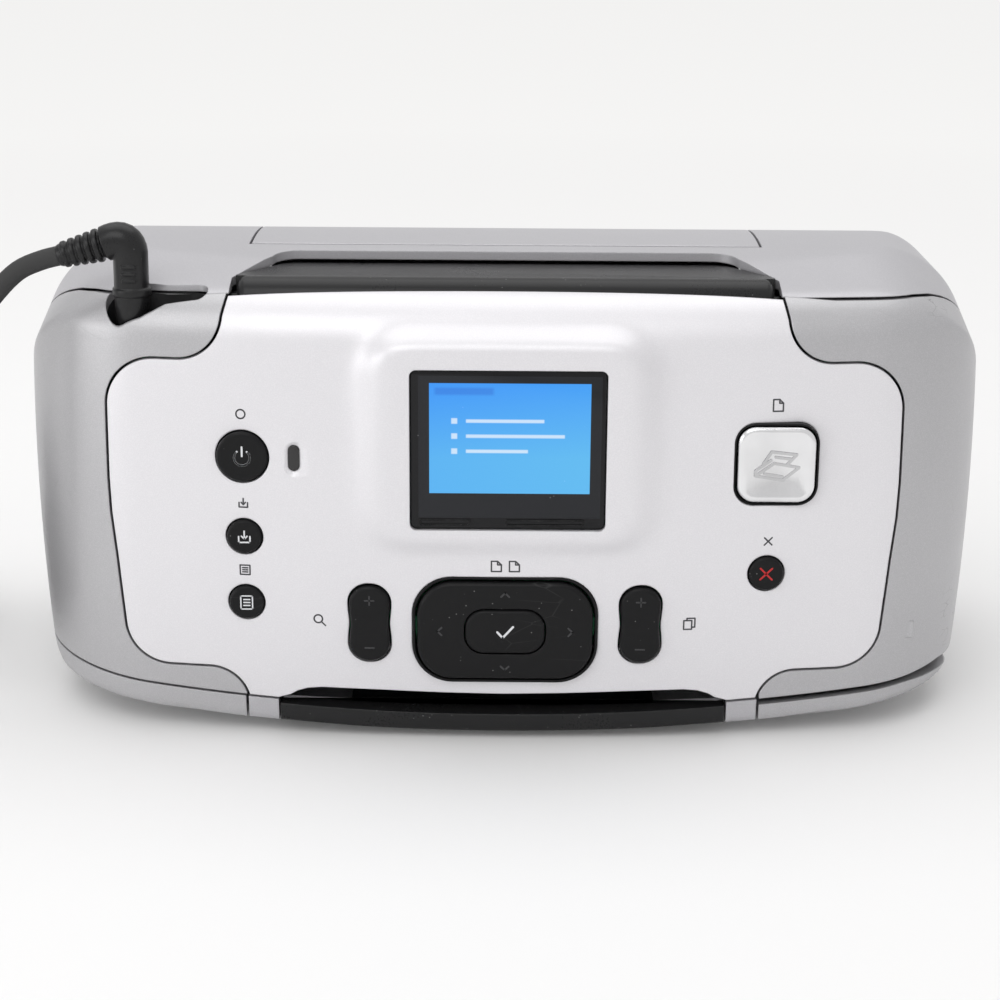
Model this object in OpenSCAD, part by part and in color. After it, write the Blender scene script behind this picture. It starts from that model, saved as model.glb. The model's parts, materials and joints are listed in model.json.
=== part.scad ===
// Compact photo printer, millimetres. X runs to the right, Y to the back, Z up.
// The origin is the middle of the footprint, on the surface the printer stands on.

/* [Body] */
// Width over the side shells
body_w = 220; // [200:1:240]
// Depth over the screen housing and the back
body_d = 115; // [108:1:125]
// Height over the crown, feet included
body_h = 107; // [100:1:115]
// Wall of every outer moulding
wall = 2; // [1.6:0.1:2.6]
// Shut line between neighbouring mouldings
seam = 0.5; // [0.3:0.1:0.8]
// Bow of the front in plan
bow_r = 520; // [400:10:800]
// Bow of the front in side view
face_r = 420; // [300:10:800]
// Rounding from the front into the top
nose_r = 13; // [9:1:16]
// Rise of the bottom edge towards the sides, as a radius
smile_r = 850; // [700:10:1400]
// Underside of the floor above the ground, in the middle
lift = 1.7; // [1.2:0.1:2.5]
// Height of the base moulding above its own underside
base_rise = 5.5; // [4:0.1:7]

/* [Front panel] */
// How far the screen housing stands out of the face
pad_proud = 1.5; // [1:0.1:2.5]
// Screen lens width
lens_w = 42.6; // [38:0.1:48]
// Screen lens height
lens_h = 35.8; // [30:0.1:38]
// Diameter of the on button
on_d = 11.4; // [10:0.1:14]
// Diameter of the small round buttons
key_d = 7.8; // [7:0.1:10]
// Side of the print button
print_w = 17.4; // [15:0.1:20]
// Width of the select pad
select_w = 39.2; // [36:0.1:46]
// Height of the select pad
select_h = 22.8; // [20:0.1:28]
// Width of the rockers
rocker_w = 9.2; // [8:0.1:11]
// Height of the rockers
rocker_h = 17.8; // [15:0.1:21]
// Clearance round every button
key_gap = 0.35; // [0.25:0.05:0.6]

/* [Moving parts] */
// Running clearance of pins in their holes, on the radius
run = 0.05; // [0.02:0.01:0.1]
// Diameter of the cartridge door pin
door_pin_d = 1.8; // [1.5:0.1:2.4]
// Half width of the input tray
tray_half = 58.6; // [54:0.1:62]
// Half width of the output tray front bar
bar_half = 50.6; // [46:0.1:54]
// Radius of the feed roller
feed_r = 8.5; // [7:0.1:10]
// Radius of the exit roller
exit_r = 2.1; // [1.8:0.1:2.3]
// Diameter of the carriage rod
rod_d = 7; // [5:0.5:9]

/* [Power lead] */
// Diameter of the cord
cord_d = 4.4; // [4:0.1:5.2]
// Diameter of the plug neck
neck_d = 7.6; // [6.5:0.1:8.2]

/* [Hidden] */
$fn = 32;
half_w = body_w / 2;
half_d = body_d / 2;
face_mid = 48;
face_front = pad_proud - half_d;
bow_y = face_front + bow_r;
belly_r = 840;
belly_z = 65;
crown_y = -6;
crown_r = 150;
back_lean = 26;
back_round = 20;
corner_r = 26;
corner_z = body_h + 0.3 - corner_r;
front_corner = 30;
rear_corner = 24;

// Height of the seam over the base at a place across the width
function base_z(x) = lift + base_rise + x * x / (2 * smile_r);
// Place of the front skin
function face_y(x, z) = face_front + x * x / (2 * bow_r)
    + (z - face_mid) * (z - face_mid) / (2 * face_r);
function arc(cx, cy, r, a0, a1, n) =
    [for (k = [0:n]) [cx + r * cos(a0 + (a1 - a0) * k / n), cy + r * sin(a0 + (a1 - a0) * k / n)]];
function mirrored(p) = [for (k = [len(p) - 1:-1:0]) [-p[k][0], p[k][1]]];

// Rounded rectangle about a centre
function round_box(cx, cy, w, h, r) = concat(
    arc(cx + w / 2 - r, cy + h / 2 - r, r, 0, 90, 5),
    arc(cx - w / 2 + r, cy + h / 2 - r, r, 90, 180, 5),
    arc(cx - w / 2 + r, cy - h / 2 + r, r, 180, 270, 5),
    arc(cx + w / 2 - r, cy - h / 2 + r, r, 270, 360, 5));

// Front view outline of the body
function elev_half(i) = concat(
    [for (k = [0:8]) [k * 12.4, lift + i + pow(k * 12.4, 2) / (2 * smile_r)]],
    arc(half_w - 8.7, lift + 13.2, 7 - i, -75, 0, 4),
    [for (z = [28, 40, 52, 65, 76])
        [half_w - i - pow(z - belly_z, 2) / (2 * belly_r), z]],
    arc(half_w - corner_r, corner_z, corner_r - i, 8, 90, 8));
function elev_pts(i) = concat(elev_half(i), mirrored(elev_half(i)));

// Plan outline of the body
front_corner_x = half_w - front_corner;
front_corner_y = bow_y - sqrt(pow(bow_r - front_corner, 2) - pow(front_corner_x, 2));
function plan_half(i) = concat(
    [[front_corner_x + (front_corner - i) * cos(78), -75]],
    arc(front_corner_x, front_corner_y, front_corner - i, -78, 0, 8),
    arc(half_w - rear_corner, half_d - rear_corner, rear_corner - i, 0, 90, 7));
function plan_pts(i) = concat(plan_half(i), mirrored(plan_half(i)));

// Side outline of the top and the back
crown_z = body_h - crown_r;
back_a = 82.34;
back_y = crown_y + (crown_r - back_round) * cos(back_a);
back_z = crown_z + (crown_r - back_round) * sin(back_a);
function lean_z(i, y) = (cos(back_lean) * back_y + sin(back_lean) * back_z + back_round - i
    - cos(back_lean) * y) / sin(back_lean);
function side_pts(i) = concat(
    [[-75, -10]],
    arc(crown_y, crown_z, crown_r - i, 117, 90, 9),
    arc(crown_y, crown_z, crown_r - i, 87, back_a, 2),
    arc(back_y, back_z, back_round - i, 74, back_lean, 5),
    [[half_d - i, lean_z(i, half_d - i)], [half_d - i, -10]]);

// Profile of the front, measured from the axis of the bow
bow_x = bow_r - face_r;
top_lean = 14;
top_at = [bow_y + 40, 103];
nose_a = 90 - top_lean - acos((sin(top_lean) * (top_at[0] - bow_x)
    + cos(top_lean) * (top_at[1] - face_mid) - nose_r) / (face_r - nose_r));
nose_x = bow_x + (face_r - nose_r) * cos(nose_a);
nose_z = face_mid + (face_r - nose_r) * sin(nose_a);
function front_pts(i) = concat(
    [[380, -8]],
    arc(bow_x, face_mid, face_r - i, -7.6, nose_a, 7),
    arc(nose_x, nose_z, nose_r - i, nose_a + 9, 90 - top_lean, 6),
    [[380, nose_z + 45]]);

// Front view outline of the panel, grown by g
function panel_half(g) = concat(
    [[57.6 + g, -8], [57.6 + g, 7.6]],
    arc(66.4, 7.6, 8.8 - g, 180, 90, 5),
    arc(75.5, 26.6, 10.2 + g, -90, 0, 5),
    [[87.2 + g, 42], [88.2 + g, 58]],
    arc(77, 76.4, 11.2 + g, 0, 90, 5),
    arc(72, 97.6, 10 - g, 270, 180, 5),
    [[60.2 + g, 104], [59.6 + g, 112]]);
function panel_pts(g) = concat(panel_half(g), mirrored(panel_half(g)));

// Side view line under the top cover
function top_line(d) = [[-43.5 + seam, 130], [-43.5 + seam, 100.8 + d], [-30, 99.4 + d],
    [-20, 96 + d], [-12, 91.5 + d], [0, 90 + d], [80, 90 + d], [80, 130]];

module along_x(x0, x1) {
    translate([x0, 0, 0]) rotate([90, 0, 90]) linear_extrude(x1 - x0) children();
}
module along_y(y0, y1) {
    translate([0, y1, 0]) rotate([90, 0, 0]) linear_extrude(y1 - y0) children();
}
module rod_x(x0, x1, y, z, r) {
    translate([x0, y, z]) rotate([0, 90, 0]) cylinder(h = x1 - x0, r = r);
}
module rod_y(x, y0, y1, z, r) {
    translate([x, y0, z]) rotate([-90, 0, 0]) cylinder(h = y1 - y0, r = r);
}
module block(x0, x1, y0, y1, z0, z1) {
    translate([x0, y0, z0]) cube([x1 - x0, y1 - y0, z1 - z0]);
}
module front_form(i) {
    translate([0, bow_y, 0]) rotate([0, 0, 252]) rotate_extrude(angle = 36)
        polygon(front_pts(i));
}
module body_form(i) {
    intersection() {
        front_form(i);
        along_x(-120, 120) polygon(side_pts(i));
        along_y(-80, 80) polygon(elev_pts(i));
        linear_extrude(130) polygon(plan_pts(i));
    }
}
module shell() {
    difference() {
        body_form(0);
        body_form(wall);
    }
}
// Space under the seam of the base, lowered by d
module under_base(d) {
    along_y(-80, 80) polygon(concat(
        [for (k = [-9:9]) [k * 13, base_z(k * 13) - d]], [[117, -10], [-117, -10]]));
}
module above_base(d) {
    along_y(-80, 80) polygon(concat(
        [for (k = [-9:9]) [k * 13, base_z(k * 13) + d]], [[117, 130], [-117, 130]]));
}
// Space in front of the rear seam and under the top cover
side_back = 36;
module side_2d(d) {
    intersection() {
        union() {
            polygon(side_pts(12 - d));
            translate([-80, -10]) square([75, 140]);
        }
        translate([-80, -10]) square([80 + side_back + d, 140]);
    }
}
module side_space() {
    difference() {
        along_x(-120, 120) side_2d(0);
        along_x(-120, 120) polygon(top_line(-seam));
        along_y(-80, -30) polygon(panel_pts(seam / 2));
    }
}

// Power port recess in the top
port_x0 = -88;
port_x1 = -65.4;
port_y = -41.8;
port_w = 8.4;
module port_space(g, z0, z1) {
    translate([0, 0, z0]) linear_extrude(z1 - z0)
        polygon(concat(
            arc(port_x1 - port_w / 2, port_y, port_w / 2 + g, -90, 90, 8),
            arc(port_x0 + port_w / 2, port_y, port_w / 2 + g, 90, 270, 8)));
}

// Cartridge door hinge
door_x = half_w - 3.6;
door_y = side_back + 2.7;
door_r = half_w - door_x;
door_z0 = 20;
door_z1 = 52;
knuckle_z0 = 28.4;
knuckle_z1 = 43.6;

module base() {
    color("Gainsboro") {
        difference() {
            intersection() {
                shell();
                under_base(0);
                block(-57.9, 57.9, -70, 70, 0, 30);
            }
            block(-bar_half - 0.4, bar_half + 0.4, -70, -40, 0, 30);
        }
        difference() {
            intersection() {
                body_form(wall + 0.1);
                along_y(-80, 80) polygon(concat(
                    [for (k = [-6:6]) [k * 13, lift + 3.6 + pow(k * 13, 2) / (2 * smile_r)]],
                    [for (k = [6:-1:-6]) [k * 13, lift + 2 + pow(k * 13, 2) / (2 * smile_r)]]));
                block(-78, 78, -48.5, 70, 0, 30);
            }
            // Clear of the photo tray, the exit shaft and its belt
            block(-bar_half - 0.4, bar_half + 0.4, -70, 30, 0, 30);
            block(-66, 66, exit_y - 3.6, exit_y + 3.6, 0, 30);
            block(-66, -60.4, exit_y - 5, 8, 0, 30);
            for (x = [-1, 1]) translate([x * 73, -33, 0]) cylinder(h = 20, r = 3.4);
            for (x = [-1, 1]) translate([x * 73, 38, 0]) cylinder(h = 20, r = 3.4);
        }
        // Posts for the platen and the chassis
        for (x = [-1, 1]) {
            block(x * 56.6 - 1.2, x * 56.6 + 1.2, -26, -15, 4, 7.4);
            block(x * 56.6 - 1.2, x * 56.6 + 1.2, 16, 28, 4, 7.4);
        }
        // Bosses that hold the feet
        for (x = [-44, 44], y = [-34, 40]) translate([x, y, 1.2]) difference() {
            cylinder(h = 2.9, r = 7.6);
            translate([0, 0, -1]) cylinder(h = 2, r = 6);
        }
    }
}

module skirt(s) {
    intersection() {
        difference() {
            shell();
            above_base(0);
            // Room for the exit belt
            block(-66, -60, exit_y - 4, exit_y + 12, 5, 8);
        }
        block(s > 0 ? 57.9 + seam : -120, s > 0 ? 120 : -57.9 - seam, -70, 70, 0, 40);
    }
    // Screw posts under the tongues of the floor
    for (y = [-33, 38]) translate([s * 73, y, base_z(73) - 4]) difference() {
        cylinder(h = 4.6, r = 3);
        translate([0, 0, 1]) cylinder(h = 6, r = 1.1);
    }
}
module base_skirt_left() {
    color("Silver") skirt(-1);
}
module base_skirt_right() {
    color("Silver") skirt(1);
}

module left_shell() {
    color("DarkGray") {
        difference() {
            intersection() {
                shell();
                side_space();
                above_base(seam);
                block(-120, 0, -80, 80, 0, 130);
            }
            port_space(0, 80, 110);
        }
    }
}

module cartridge_door() {
    color("DarkGray") {
        difference() {
            intersection() {
                shell();
                side_space();
                along_y(-80, 80) polygon([[50, base_z(57) + seam], [62, base_z(62) + seam],
                    [90, base_z(90) + 1.3], [120, base_z(115) + 2.6], [120, 130], [50, 130]]);
                block(0, 120, -80, side_back, 0, 130);
            }
            translate([door_x, door_y, knuckle_z0 - 0.4])
                cylinder(h = knuckle_z1 - knuckle_z0 + 0.8, r = door_r + 0.4);
        }
        // Rolled rear edge round the hinge pin
        difference() {
            intersection() {
                body_form(0);
                union() {
                    translate([door_x, door_y, 17.2]) cylinder(h = 72.2, r = door_r);
                    block(door_x, 120, side_back - 1, door_y, 17.2, 89.4);
                    block(door_x, 120, side_back - 5.4, door_y, 50, 67.4);
                }
            }
            translate([door_x, door_y, knuckle_z0 - 0.4])
                cylinder(h = knuckle_z1 - knuckle_z0 + 0.8, r = 2 * door_r);
            translate([door_x, door_y, door_z0 - 0.6])
                cylinder(h = door_z1 - door_z0 + 1.2, r = door_pin_d / 2 + run);
        }
        // Catch behind the front edge
        block(92, 94, -44.5, -41, 22, 26);
    }
}

module handle_opening(g, z0, z1) {
    translate([0, 0, z0]) linear_extrude(z1 - z0)
        polygon(concat([[60.6 + g, -50], [60.6 + g, -36]],
            arc(46.8, -26.4, 6 + g, 16, 90, 5), arc(-46.8, -26.4, 6 + g, 90, 164, 5),
            [[-60.6 - g, -36], [-60.6 - g, -50]]));
}

module top_cover() {
    color("LightGray") {
        difference() {
            intersection() {
                shell();
                along_x(-120, 120) polygon(top_line(0));
            }
            handle_opening(0.2, 80, 120);
            block(-tray_half - 0.6, tray_half + 0.6, -14.9, 80, 60, 120);
            port_space(0, 80, 120);
            along_y(-80, -43) polygon(panel_pts(seam));
        }
        // Ribs under the strip behind the handle
        for (x = [-30, 30]) block(x - 1, x + 1, -19.5, -16, 98.6, 104.6);
    }
}

// Input tray hinge, low at the back, and the fold between its two sections
tray_y = 54;
tray_z = 36;
tray_r = 3.4;
fold_y = 19.5;
fold_z = 100.6;
fold_r = 3;
fold_at = [0.6 - tray_half, -38, -8, 8, 38, tray_half - 0.6];
usb_x = 76;

module rear_cover() {
    color("Gray") {
        difference() {
            intersection() {
                difference() {
                    shell();
                    along_x(-120, 120) side_2d(seam);
                    along_x(-120, 120) polygon(top_line(-seam));
                }
                above_base(seam);
            }
            block(-tray_half - 0.6, tray_half + 0.6, 0, 80, tray_z - 3.9, 120);
            translate([door_x, door_y, 0]) cylinder(h = 89.9, r = door_r + 0.8);
            block(door_x - door_r - 0.8, 120, side_back - 1, door_y, 0, 89.9);
            block(door_x - door_r - 0.8, 120, side_back - 6, door_y, 0, 68);
            block(usb_x - 6.3, usb_x + 6.3, 40, 80, 17.7, 29.3);
        }
        // Door hinge knuckle
        difference() {
            intersection() {
                body_form(0);
                union() {
                    translate([door_x, door_y, knuckle_z0])
                        cylinder(h = knuckle_z1 - knuckle_z0, r = door_r);
                    block(door_x - 3, door_x + 1.4, door_y, door_y + 8, knuckle_z0, knuckle_z1);
                }
            }
            translate([door_x, door_y, 0]) cylinder(h = 80, r = door_pin_d / 2);
        }
        // Lugs that carry the input tray pin
        for (s = [-1, 1]) difference() {
            block(s * 60.8 - 1.2, s * 60.8 + 1.2, tray_y - 3, half_d - 1, tray_z - 6, tray_z + 3);
            rod_x(-70, 70, tray_y, tray_z, 1);
        }
    }
}

module front_panel() {
    color("WhiteSmoke") {
        difference() {
            union() {
                intersection() {
                    shell();
                    along_y(-80, -43) polygon(panel_pts(-seam / 2));
                    difference() {
                        block(-120, 120, -80, -44, 0, 130);
                        along_y(-90, -40) polygon(concat(
                            [[58.2, 0], [58.2, base_z(58) + seam],
                                [bar_half + 0.4, base_z(51) + seam], [48.2, 10.2]],
                            [[45.9, 11.2], [42, 12.1], [28, 12], [0, 11.3], [-28, 12]],
                            [[-42, 12.1], [-45.9, 11.2], [-48.2, 10.2]],
                            [[-bar_half - 0.4, base_z(51) + seam],
                                [-58.2, base_z(58) + seam], [-58.2, 0]]));
                    }
                }
                along_y(-half_d, -53.2) polygon(round_box(0.8, 70.7, 59, 44, 8));
            }
            // Behind the screen housing
            along_y(-half_d + 2.6, -40) polygon(round_box(0.8, 70.7, 51, 38.6, 2));
            along_y(-80, -40) polygon(round_box(0.8, 69.3, lens_w + 0.4, lens_h + 0.4, 1.5));
            key_holes();
        }
        // Posts for the button board
        for (x = [-76, -38.4, 39.2, 76], z = [24, 84]) if (z < 50 || abs(x) > 60)
            rod_y(x, face_y(x, z) + 1.5, -44.6, z, 2.2);
    }
}

on_at = [-57.7, 66.4];
save_at = [-57.6, 48.1];
menu_at = [-57.5, 32.6];
led_at = [-46.3, 66.3];
print_at = [59.9, 65.4];
cancel_at = [58.6, 40.2];
pad_at = [0.4, 27.4];
zoom_at = [-29.9, 28.5];
copies_at = [30.7, 28.5];
board_y = -44.5;

module hole_y(p, r) {
    rod_y(p[0], -80, -40, p[1], r);
}
module key_holes() {
    hole_y(on_at, on_d / 2 + key_gap);
    for (p = [save_at, menu_at, cancel_at]) hole_y(p, key_d / 2 + key_gap);
    along_y(-80, -40) polygon(round_box(led_at[0], led_at[1], 2.6, 6, 1.2));
    along_y(-80, -40) polygon(round_box(print_at[0], print_at[1], print_w + 1.4, print_w + 1.4, 4.6));
    along_y(-80, -40) polygon(round_box(pad_at[0], pad_at[1], select_w + 2.4, select_h + 2.4, 9));
    for (p = [zoom_at, copies_at]) along_y(-80, -40)
        polygon(round_box(p[0], p[1], rocker_w + 2 * key_gap, rocker_h + 2 * key_gap + 0.5, 4.8));
}

// Round button: cap, flange behind the panel and stem towards its switch
module round_key(p, d) {
    y = face_y(p[0], p[1]);
    rod_y(p[0], y - 0.8, y + 3.8, p[1], d / 2);
    rod_y(p[0], y + 3.5, y + 4.3, p[1], d / 2 + 1.2);
    rod_y(p[0], y + 4, board_y - 2.6, p[1], 1.5);
}
module on_button() {
    color("Black") round_key(on_at, on_d);
}
module save_button() {
    color("Black") round_key(save_at, key_d);
}
module menu_button() {
    color("Black") round_key(menu_at, key_d);
}
module cancel_button() {
    color("Black") round_key(cancel_at, key_d);
}
module led_lens() {
    y = face_y(led_at[0], led_at[1]);
    color("DimGray") {
        along_y(y + 0.6, y + 3.2) polygon(round_box(led_at[0], led_at[1], 2.5, 5.9, 1.15));
        along_y(y + 2.6, y + 4) polygon(round_box(led_at[0], led_at[1], 5, 8.4, 2));
        rod_y(led_at[0], y + 4, board_y, led_at[1], 1.2);
    }
}
module print_ring() {
    y = face_y(print_at[0], print_at[1]);
    color("Black") {
        difference() {
            along_y(y - 0.5, y + 4.6)
                polygon(round_box(print_at[0], print_at[1], print_w + 1.3, print_w + 1.3, 4.6));
            along_y(y - 2, y + 6)
                polygon(round_box(print_at[0], print_at[1], print_w + 0.5, print_w + 0.5, 4.2));
        }
        difference() {
            along_y(y + 4.2, y + 5)
                polygon(round_box(print_at[0], print_at[1], print_w + 4, print_w + 4, 5.6));
            along_y(y - 2, y + 6)
                polygon(round_box(print_at[0], print_at[1], print_w + 0.5, print_w + 0.5, 4.2));
        }
    }
}
module print_button() {
    y = face_y(print_at[0], print_at[1]);
    color("Gainsboro") {
        along_y(y - 1.2, y + 3.2)
            polygon(round_box(print_at[0], print_at[1], print_w, print_w, 4));
        rod_y(print_at[0], y + 3, board_y - 2.6, print_at[1], 2.4);
    }
}

// Select pad on two crossed hinges, with the well around it
pad_y = face_y(0, 27.4);
pad_pivot = pad_y + 4.6;
module pad_well() {
    color("Black") difference() {
        union() {
            along_y(pad_y - 0.3, pad_y + 4)
                polygon(round_box(pad_at[0], pad_at[1], select_w + 2.2, select_h + 2.2, 9));
            along_y(pad_y + 3.7, pad_y + 4.5)
                polygon(round_box(pad_at[0], pad_at[1], select_w + 5.4, select_h + 5.4, 10));
        }
        along_y(pad_y - 2, pad_y + 6)
            polygon(round_box(pad_at[0], pad_at[1], select_w + 1, select_h + 1, 8.5));
        for (s = [-1, 1]) block(pad_at[0] + s * 23 - 4, pad_at[0] + s * 23 + 4,
            pad_y + 2.2, pad_y + 6, pad_at[1] - 2.4, pad_at[1] + 2.4);
    }
}
module pad_gimbal() {
    color("DimGray") {
        difference() {
            along_y(pad_pivot - 1.2, pad_pivot + 1.2)
                polygon(round_box(pad_at[0], pad_at[1], 32, 15, 2));
            along_y(pad_pivot - 5, pad_pivot + 5)
                polygon(round_box(pad_at[0], pad_at[1], 28, 11, 1));
            translate([pad_at[0], pad_pivot, 0]) cylinder(h = 60, r = 0.8 + run);
        }
        for (s = [-1, 1]) rod_x(pad_at[0] + s * 19 - 3.2, pad_at[0] + s * 19 + 3.2,
            pad_pivot, pad_at[1], 1);
    }
}
module select_pad() {
    color("Black") difference() {
        union() {
            along_y(pad_y - 1.4, pad_y + 1.4)
                polygon(round_box(pad_at[0], pad_at[1], select_w, select_h, 8));
            // Ears that hold the gimbal
            for (s = [-1, 1]) block(pad_at[0] - 1.5, pad_at[0] + 1.5, pad_y + 1,
                pad_pivot + 1.8, pad_at[1] + s * 8.7 - 0.9, pad_at[1] + s * 8.7 + 0.9);
            for (s = [-1, 1]) translate([pad_at[0], pad_pivot, pad_at[1] + s * 7.6 - 1])
                cylinder(h = 2, r = 0.8);
        }
        along_y(pad_y - 3, pad_y + 3) polygon(round_box(pad_at[0], pad_at[1], 18.4, 10.8, 4.6));
    }
}
module ok_button() {
    color("Black") {
        along_y(pad_y - 1.9, pad_y + 1.6) polygon(round_box(pad_at[0], pad_at[1], 17.7, 10.1, 4.2));
        rod_y(pad_at[0], pad_y + 1.2, board_y - 3.4, pad_at[1], 1.8);
    }
}

module rocker(p) {
    y = face_y(p[0], p[1]);
    along_y(y - 1, y + 3) polygon(round_box(p[0], p[1], rocker_w, rocker_h, 4.4));
    block(p[0] - 2.6, p[0] + 2.6, y + 2.8, y + 4.6, p[1] - 1.4, p[1] + 1.4);
    rod_x(p[0] - 6.2, p[0] + 6.2, y + 4.6, p[1], 1);
}
module zoom_rocker() {
    color("Black") rocker(zoom_at);
}
module copies_rocker() {
    color("Black") rocker(copies_at);
}

module screen_lens() {
    color("Black") along_y(-half_d + 0.8, -half_d + 2.5)
        polygon(round_box(0.8, 69.3, lens_w, lens_h, 1.3));
}
module screen_module() {
    color("SteelBlue") {
        along_y(-half_d + 2.7, -half_d + 6) polygon(round_box(1.2, 70.4, 47, 35, 0.8));
        block(-10, 12, -half_d + 6, board_y, 64, 76);
    }
}
module button_board() {
    color("DarkGreen") {
        difference() {
            block(-80, 80, board_y, board_y + 1.6, 20, 87);
            for (s = [-1, 1]) block(s * 44 - 1, s * 44 + 1, -50, -40, 70, 90);
        }
        for (p = [on_at, save_at, menu_at, cancel_at, print_at, pad_at])
            rod_y(p[0], board_y - 1.5, board_y + 0.1, p[1], 1.6);
        for (p = [zoom_at, copies_at], s = [-1, 1])
            rod_y(p[0], board_y - 1.5, board_y + 0.1, p[1] + s * 6, 1.4);
        // Pivot posts of the rockers
        for (p = [zoom_at, copies_at], s = [-1, 1]) difference() {
            block(p[0] + s * 5.2 - 0.9, p[0] + s * 5.2 + 0.9, face_y(p[0], p[1]) + 3.3,
                board_y + 0.1, p[1] - 2, p[1] + 2);
            rod_x(p[0] - 8, p[0] + 8, face_y(p[0], p[1]) + 4.6, p[1], 1 + run);
        }
        // Pivot posts of the gimbal
        for (s = [-1, 1]) difference() {
            block(pad_at[0] + s * 20.4 - 1.2, pad_at[0] + s * 20.4 + 1.2, pad_pivot - 1.8,
                board_y + 0.1, pad_at[1] - 2, pad_at[1] + 2);
            rod_x(pad_at[0] - 24, pad_at[0] + 24, pad_pivot, pad_at[1], 1 + run);
        }
        for (s = [-1, 1]) block(s * 66 - 4, s * 66 + 4, board_y + 1.5, board_y + 4, 50, 56);
    }
}

// Carry handle
handle_y = -37;
handle_z = 98.4;
module handle_well() {
    color("Black") {
        difference() {
            intersection() {
                union() {
                    handle_opening(2.4, 88.6, 98.6);
                    for (s = [-1, 1]) block(s * 62.3 - 0.8, s * 62.3 + 0.8, handle_y - 3,
                        handle_y + 3, 95, handle_z + 2.9);
                }
                block(-80, 80, -43.8, 0, 80, 120);
                body_form(wall + 0.1);
            }
            intersection() {
                handle_opening(0.8, 90, 120);
                block(-80, 80, -42.9, 0, 80, 120);
            }
            rod_x(-70, 70, handle_y, handle_z, 1.5 + run);
        }
    }
}
module carry_handle() {
    color("Black") {
        difference() {
            union() {
                rod_x(-57.4, 57.4, handle_y, handle_z, 5.4);
                for (s = [-1, 1]) translate([s * 57.4, handle_y, handle_z])
                    rotate([0, s * 90, 0]) cylinder(h = 1.9, r1 = 5.4, r2 = 3.2);
                intersection() {
                    handle_opening(-0.8, 97, 103.8);
                    block(-80, 80, handle_y, 0, 80, 120);
                }
            }
            intersection() {
                handle_opening(-3, 90, 101.6);
                block(-80, 80, handle_y + 5, 0, 80, 120);
            }
        }
        rod_x(-63.4, 63.4, handle_y, handle_z, 1.5);
    }
}

// Input tray in two sections
module skin_2d(i0, i1) {
    difference() {
        polygon(side_pts(i0));
        polygon(side_pts(i1));
    }
}
module input_tray() {
    color("LightGray") {
        difference() {
            union() {
                along_x(-tray_half, tray_half) intersection() {
                    skin_2d(0, wall);
                    polygon([[fold_y, fold_z], [fold_y + 4, fold_z + 8], [90, 90],
                        [90, tray_z + 1], [tray_y, tray_z + 1]]);
                }
                rod_x(-tray_half, tray_half, tray_y, tray_z, tray_r);
                // Side rails and the fold knuckles
                for (k = [1, 3]) rod_x(fold_at[k] + 0.3, fold_at[k + 1] - 0.3, fold_y, fold_z, fold_r);
            }
            rod_x(-70, 70, tray_y, tray_z, 1 + run);
            for (k = [0, 2, 4]) rod_x(fold_at[k] - 0.7, fold_at[k + 1] + (k == 4 ? 0.7 : 0.1),
                fold_y, fold_z, fold_r + 0.5);
            rod_x(-70, 70, fold_y, fold_z, 1);
            // Track of the width guide
            along_x(20, 50) translate([tray_y, tray_z]) rotate(116)
                translate([20, -2.5]) square([3.2, 1.4]);
        }
    }
}
module tray_extension() {
    color("LightGray") {
        difference() {
            union() {
                along_x(-tray_half, tray_half) intersection() {
                    skin_2d(0, wall);
                    polygon([[-14.3, 90], [-14.3, 120], [fold_y + 2, 120], [fold_y, fold_z], [8, 95]]);
                }
                for (k = [0, 2, 4]) rod_x(fold_at[k], fold_at[k + 1], fold_y, fold_z, fold_r);
                // Lip along the front edge
                along_x(-56, 56) polygon([[-14.3, 103.4], [-14.3, 105], [-12.6, 105.4], [-12.6, 103.4]]);
            }
            for (k = [1, 3]) rod_x(fold_at[k] - 0.2, fold_at[k + 1] + 0.2, fold_y, fold_z,
                fold_r + 0.5);
            rod_x(-70, 70, fold_y, fold_z, 1 + run);
        }
    }
}
module width_guide() {
    color("DimGray") translate([0, tray_y, tray_z]) rotate([26, 0, 0]) {
        block(36, 38, -4.9, 1.15, 12, 38);
        block(34, 46, -0.2, 1.15, 16, 30);
        block(36, 44, 1, 2.2, 20.4, 22.8);
    }
}
module tray_liner() {
    color("Black") {
        along_x(-57.4, 57.4) intersection() {
            skin_2d(10, 12);
            polygon([[-16, 85], [-16, 120], [80, 120], [80, 31], [30, 31]]);
        }
        for (s = [-1, 1]) block(s * 58.1 - 0.8, s * 58.1 + 0.8, 45.4, 48.4, 31, 31.9);
        for (s = [-1, 1]) along_x(s * 58.1 - 0.7, s * 58.1 + 0.7) intersection() {
            skin_2d(4, 12);
            polygon([[-12, 85], [-12, 120], [10, 120], [10, 85]]);
        }
    }
}

module exit_frame() {
    color("Black") {
        // Dark surround behind the arch over the photo slot
        difference() {
            intersection() {
                front_form(wall + 0.1);
                along_y(-54, -45.2) polygon([[-56.8, 8.9], [-56.8, 15.5], [56.8, 15.5],
                    [56.8, 8.9], [51.4, 8.9], [51.4, 13.4], [-51.4, 13.4], [-51.4, 8.9]]);
            }
            // Room for the well of the select pad
            block(pad_at[0] - select_w / 2 - 5, pad_at[0] + select_w / 2 + 5, -60,
                pad_y + 4.8, 11, 20);
        }
    }
}

module output_tray() {
    color("Black") {
        // Bowed front bar
        intersection() {
            front_form(0.1);
            along_y(-80, -48) polygon(concat(
                [for (k = [-4:4]) [k * bar_half / 4, lift + 0.2 + pow(k * bar_half / 4, 2) / 1700]],
                [for (k = [4:-1:-4]) [k * bar_half / 4, 6.3 + pow(k * bar_half / 4, 2) / 1700]]));
        }
        // Slide that runs in over the floor
        block(-35, 35, -49.5, 8, 4.6, 5.6);
        block(-49.4, 49.4, -49.5, -42.5, 4.6, 5.6);
    }
}

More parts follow.
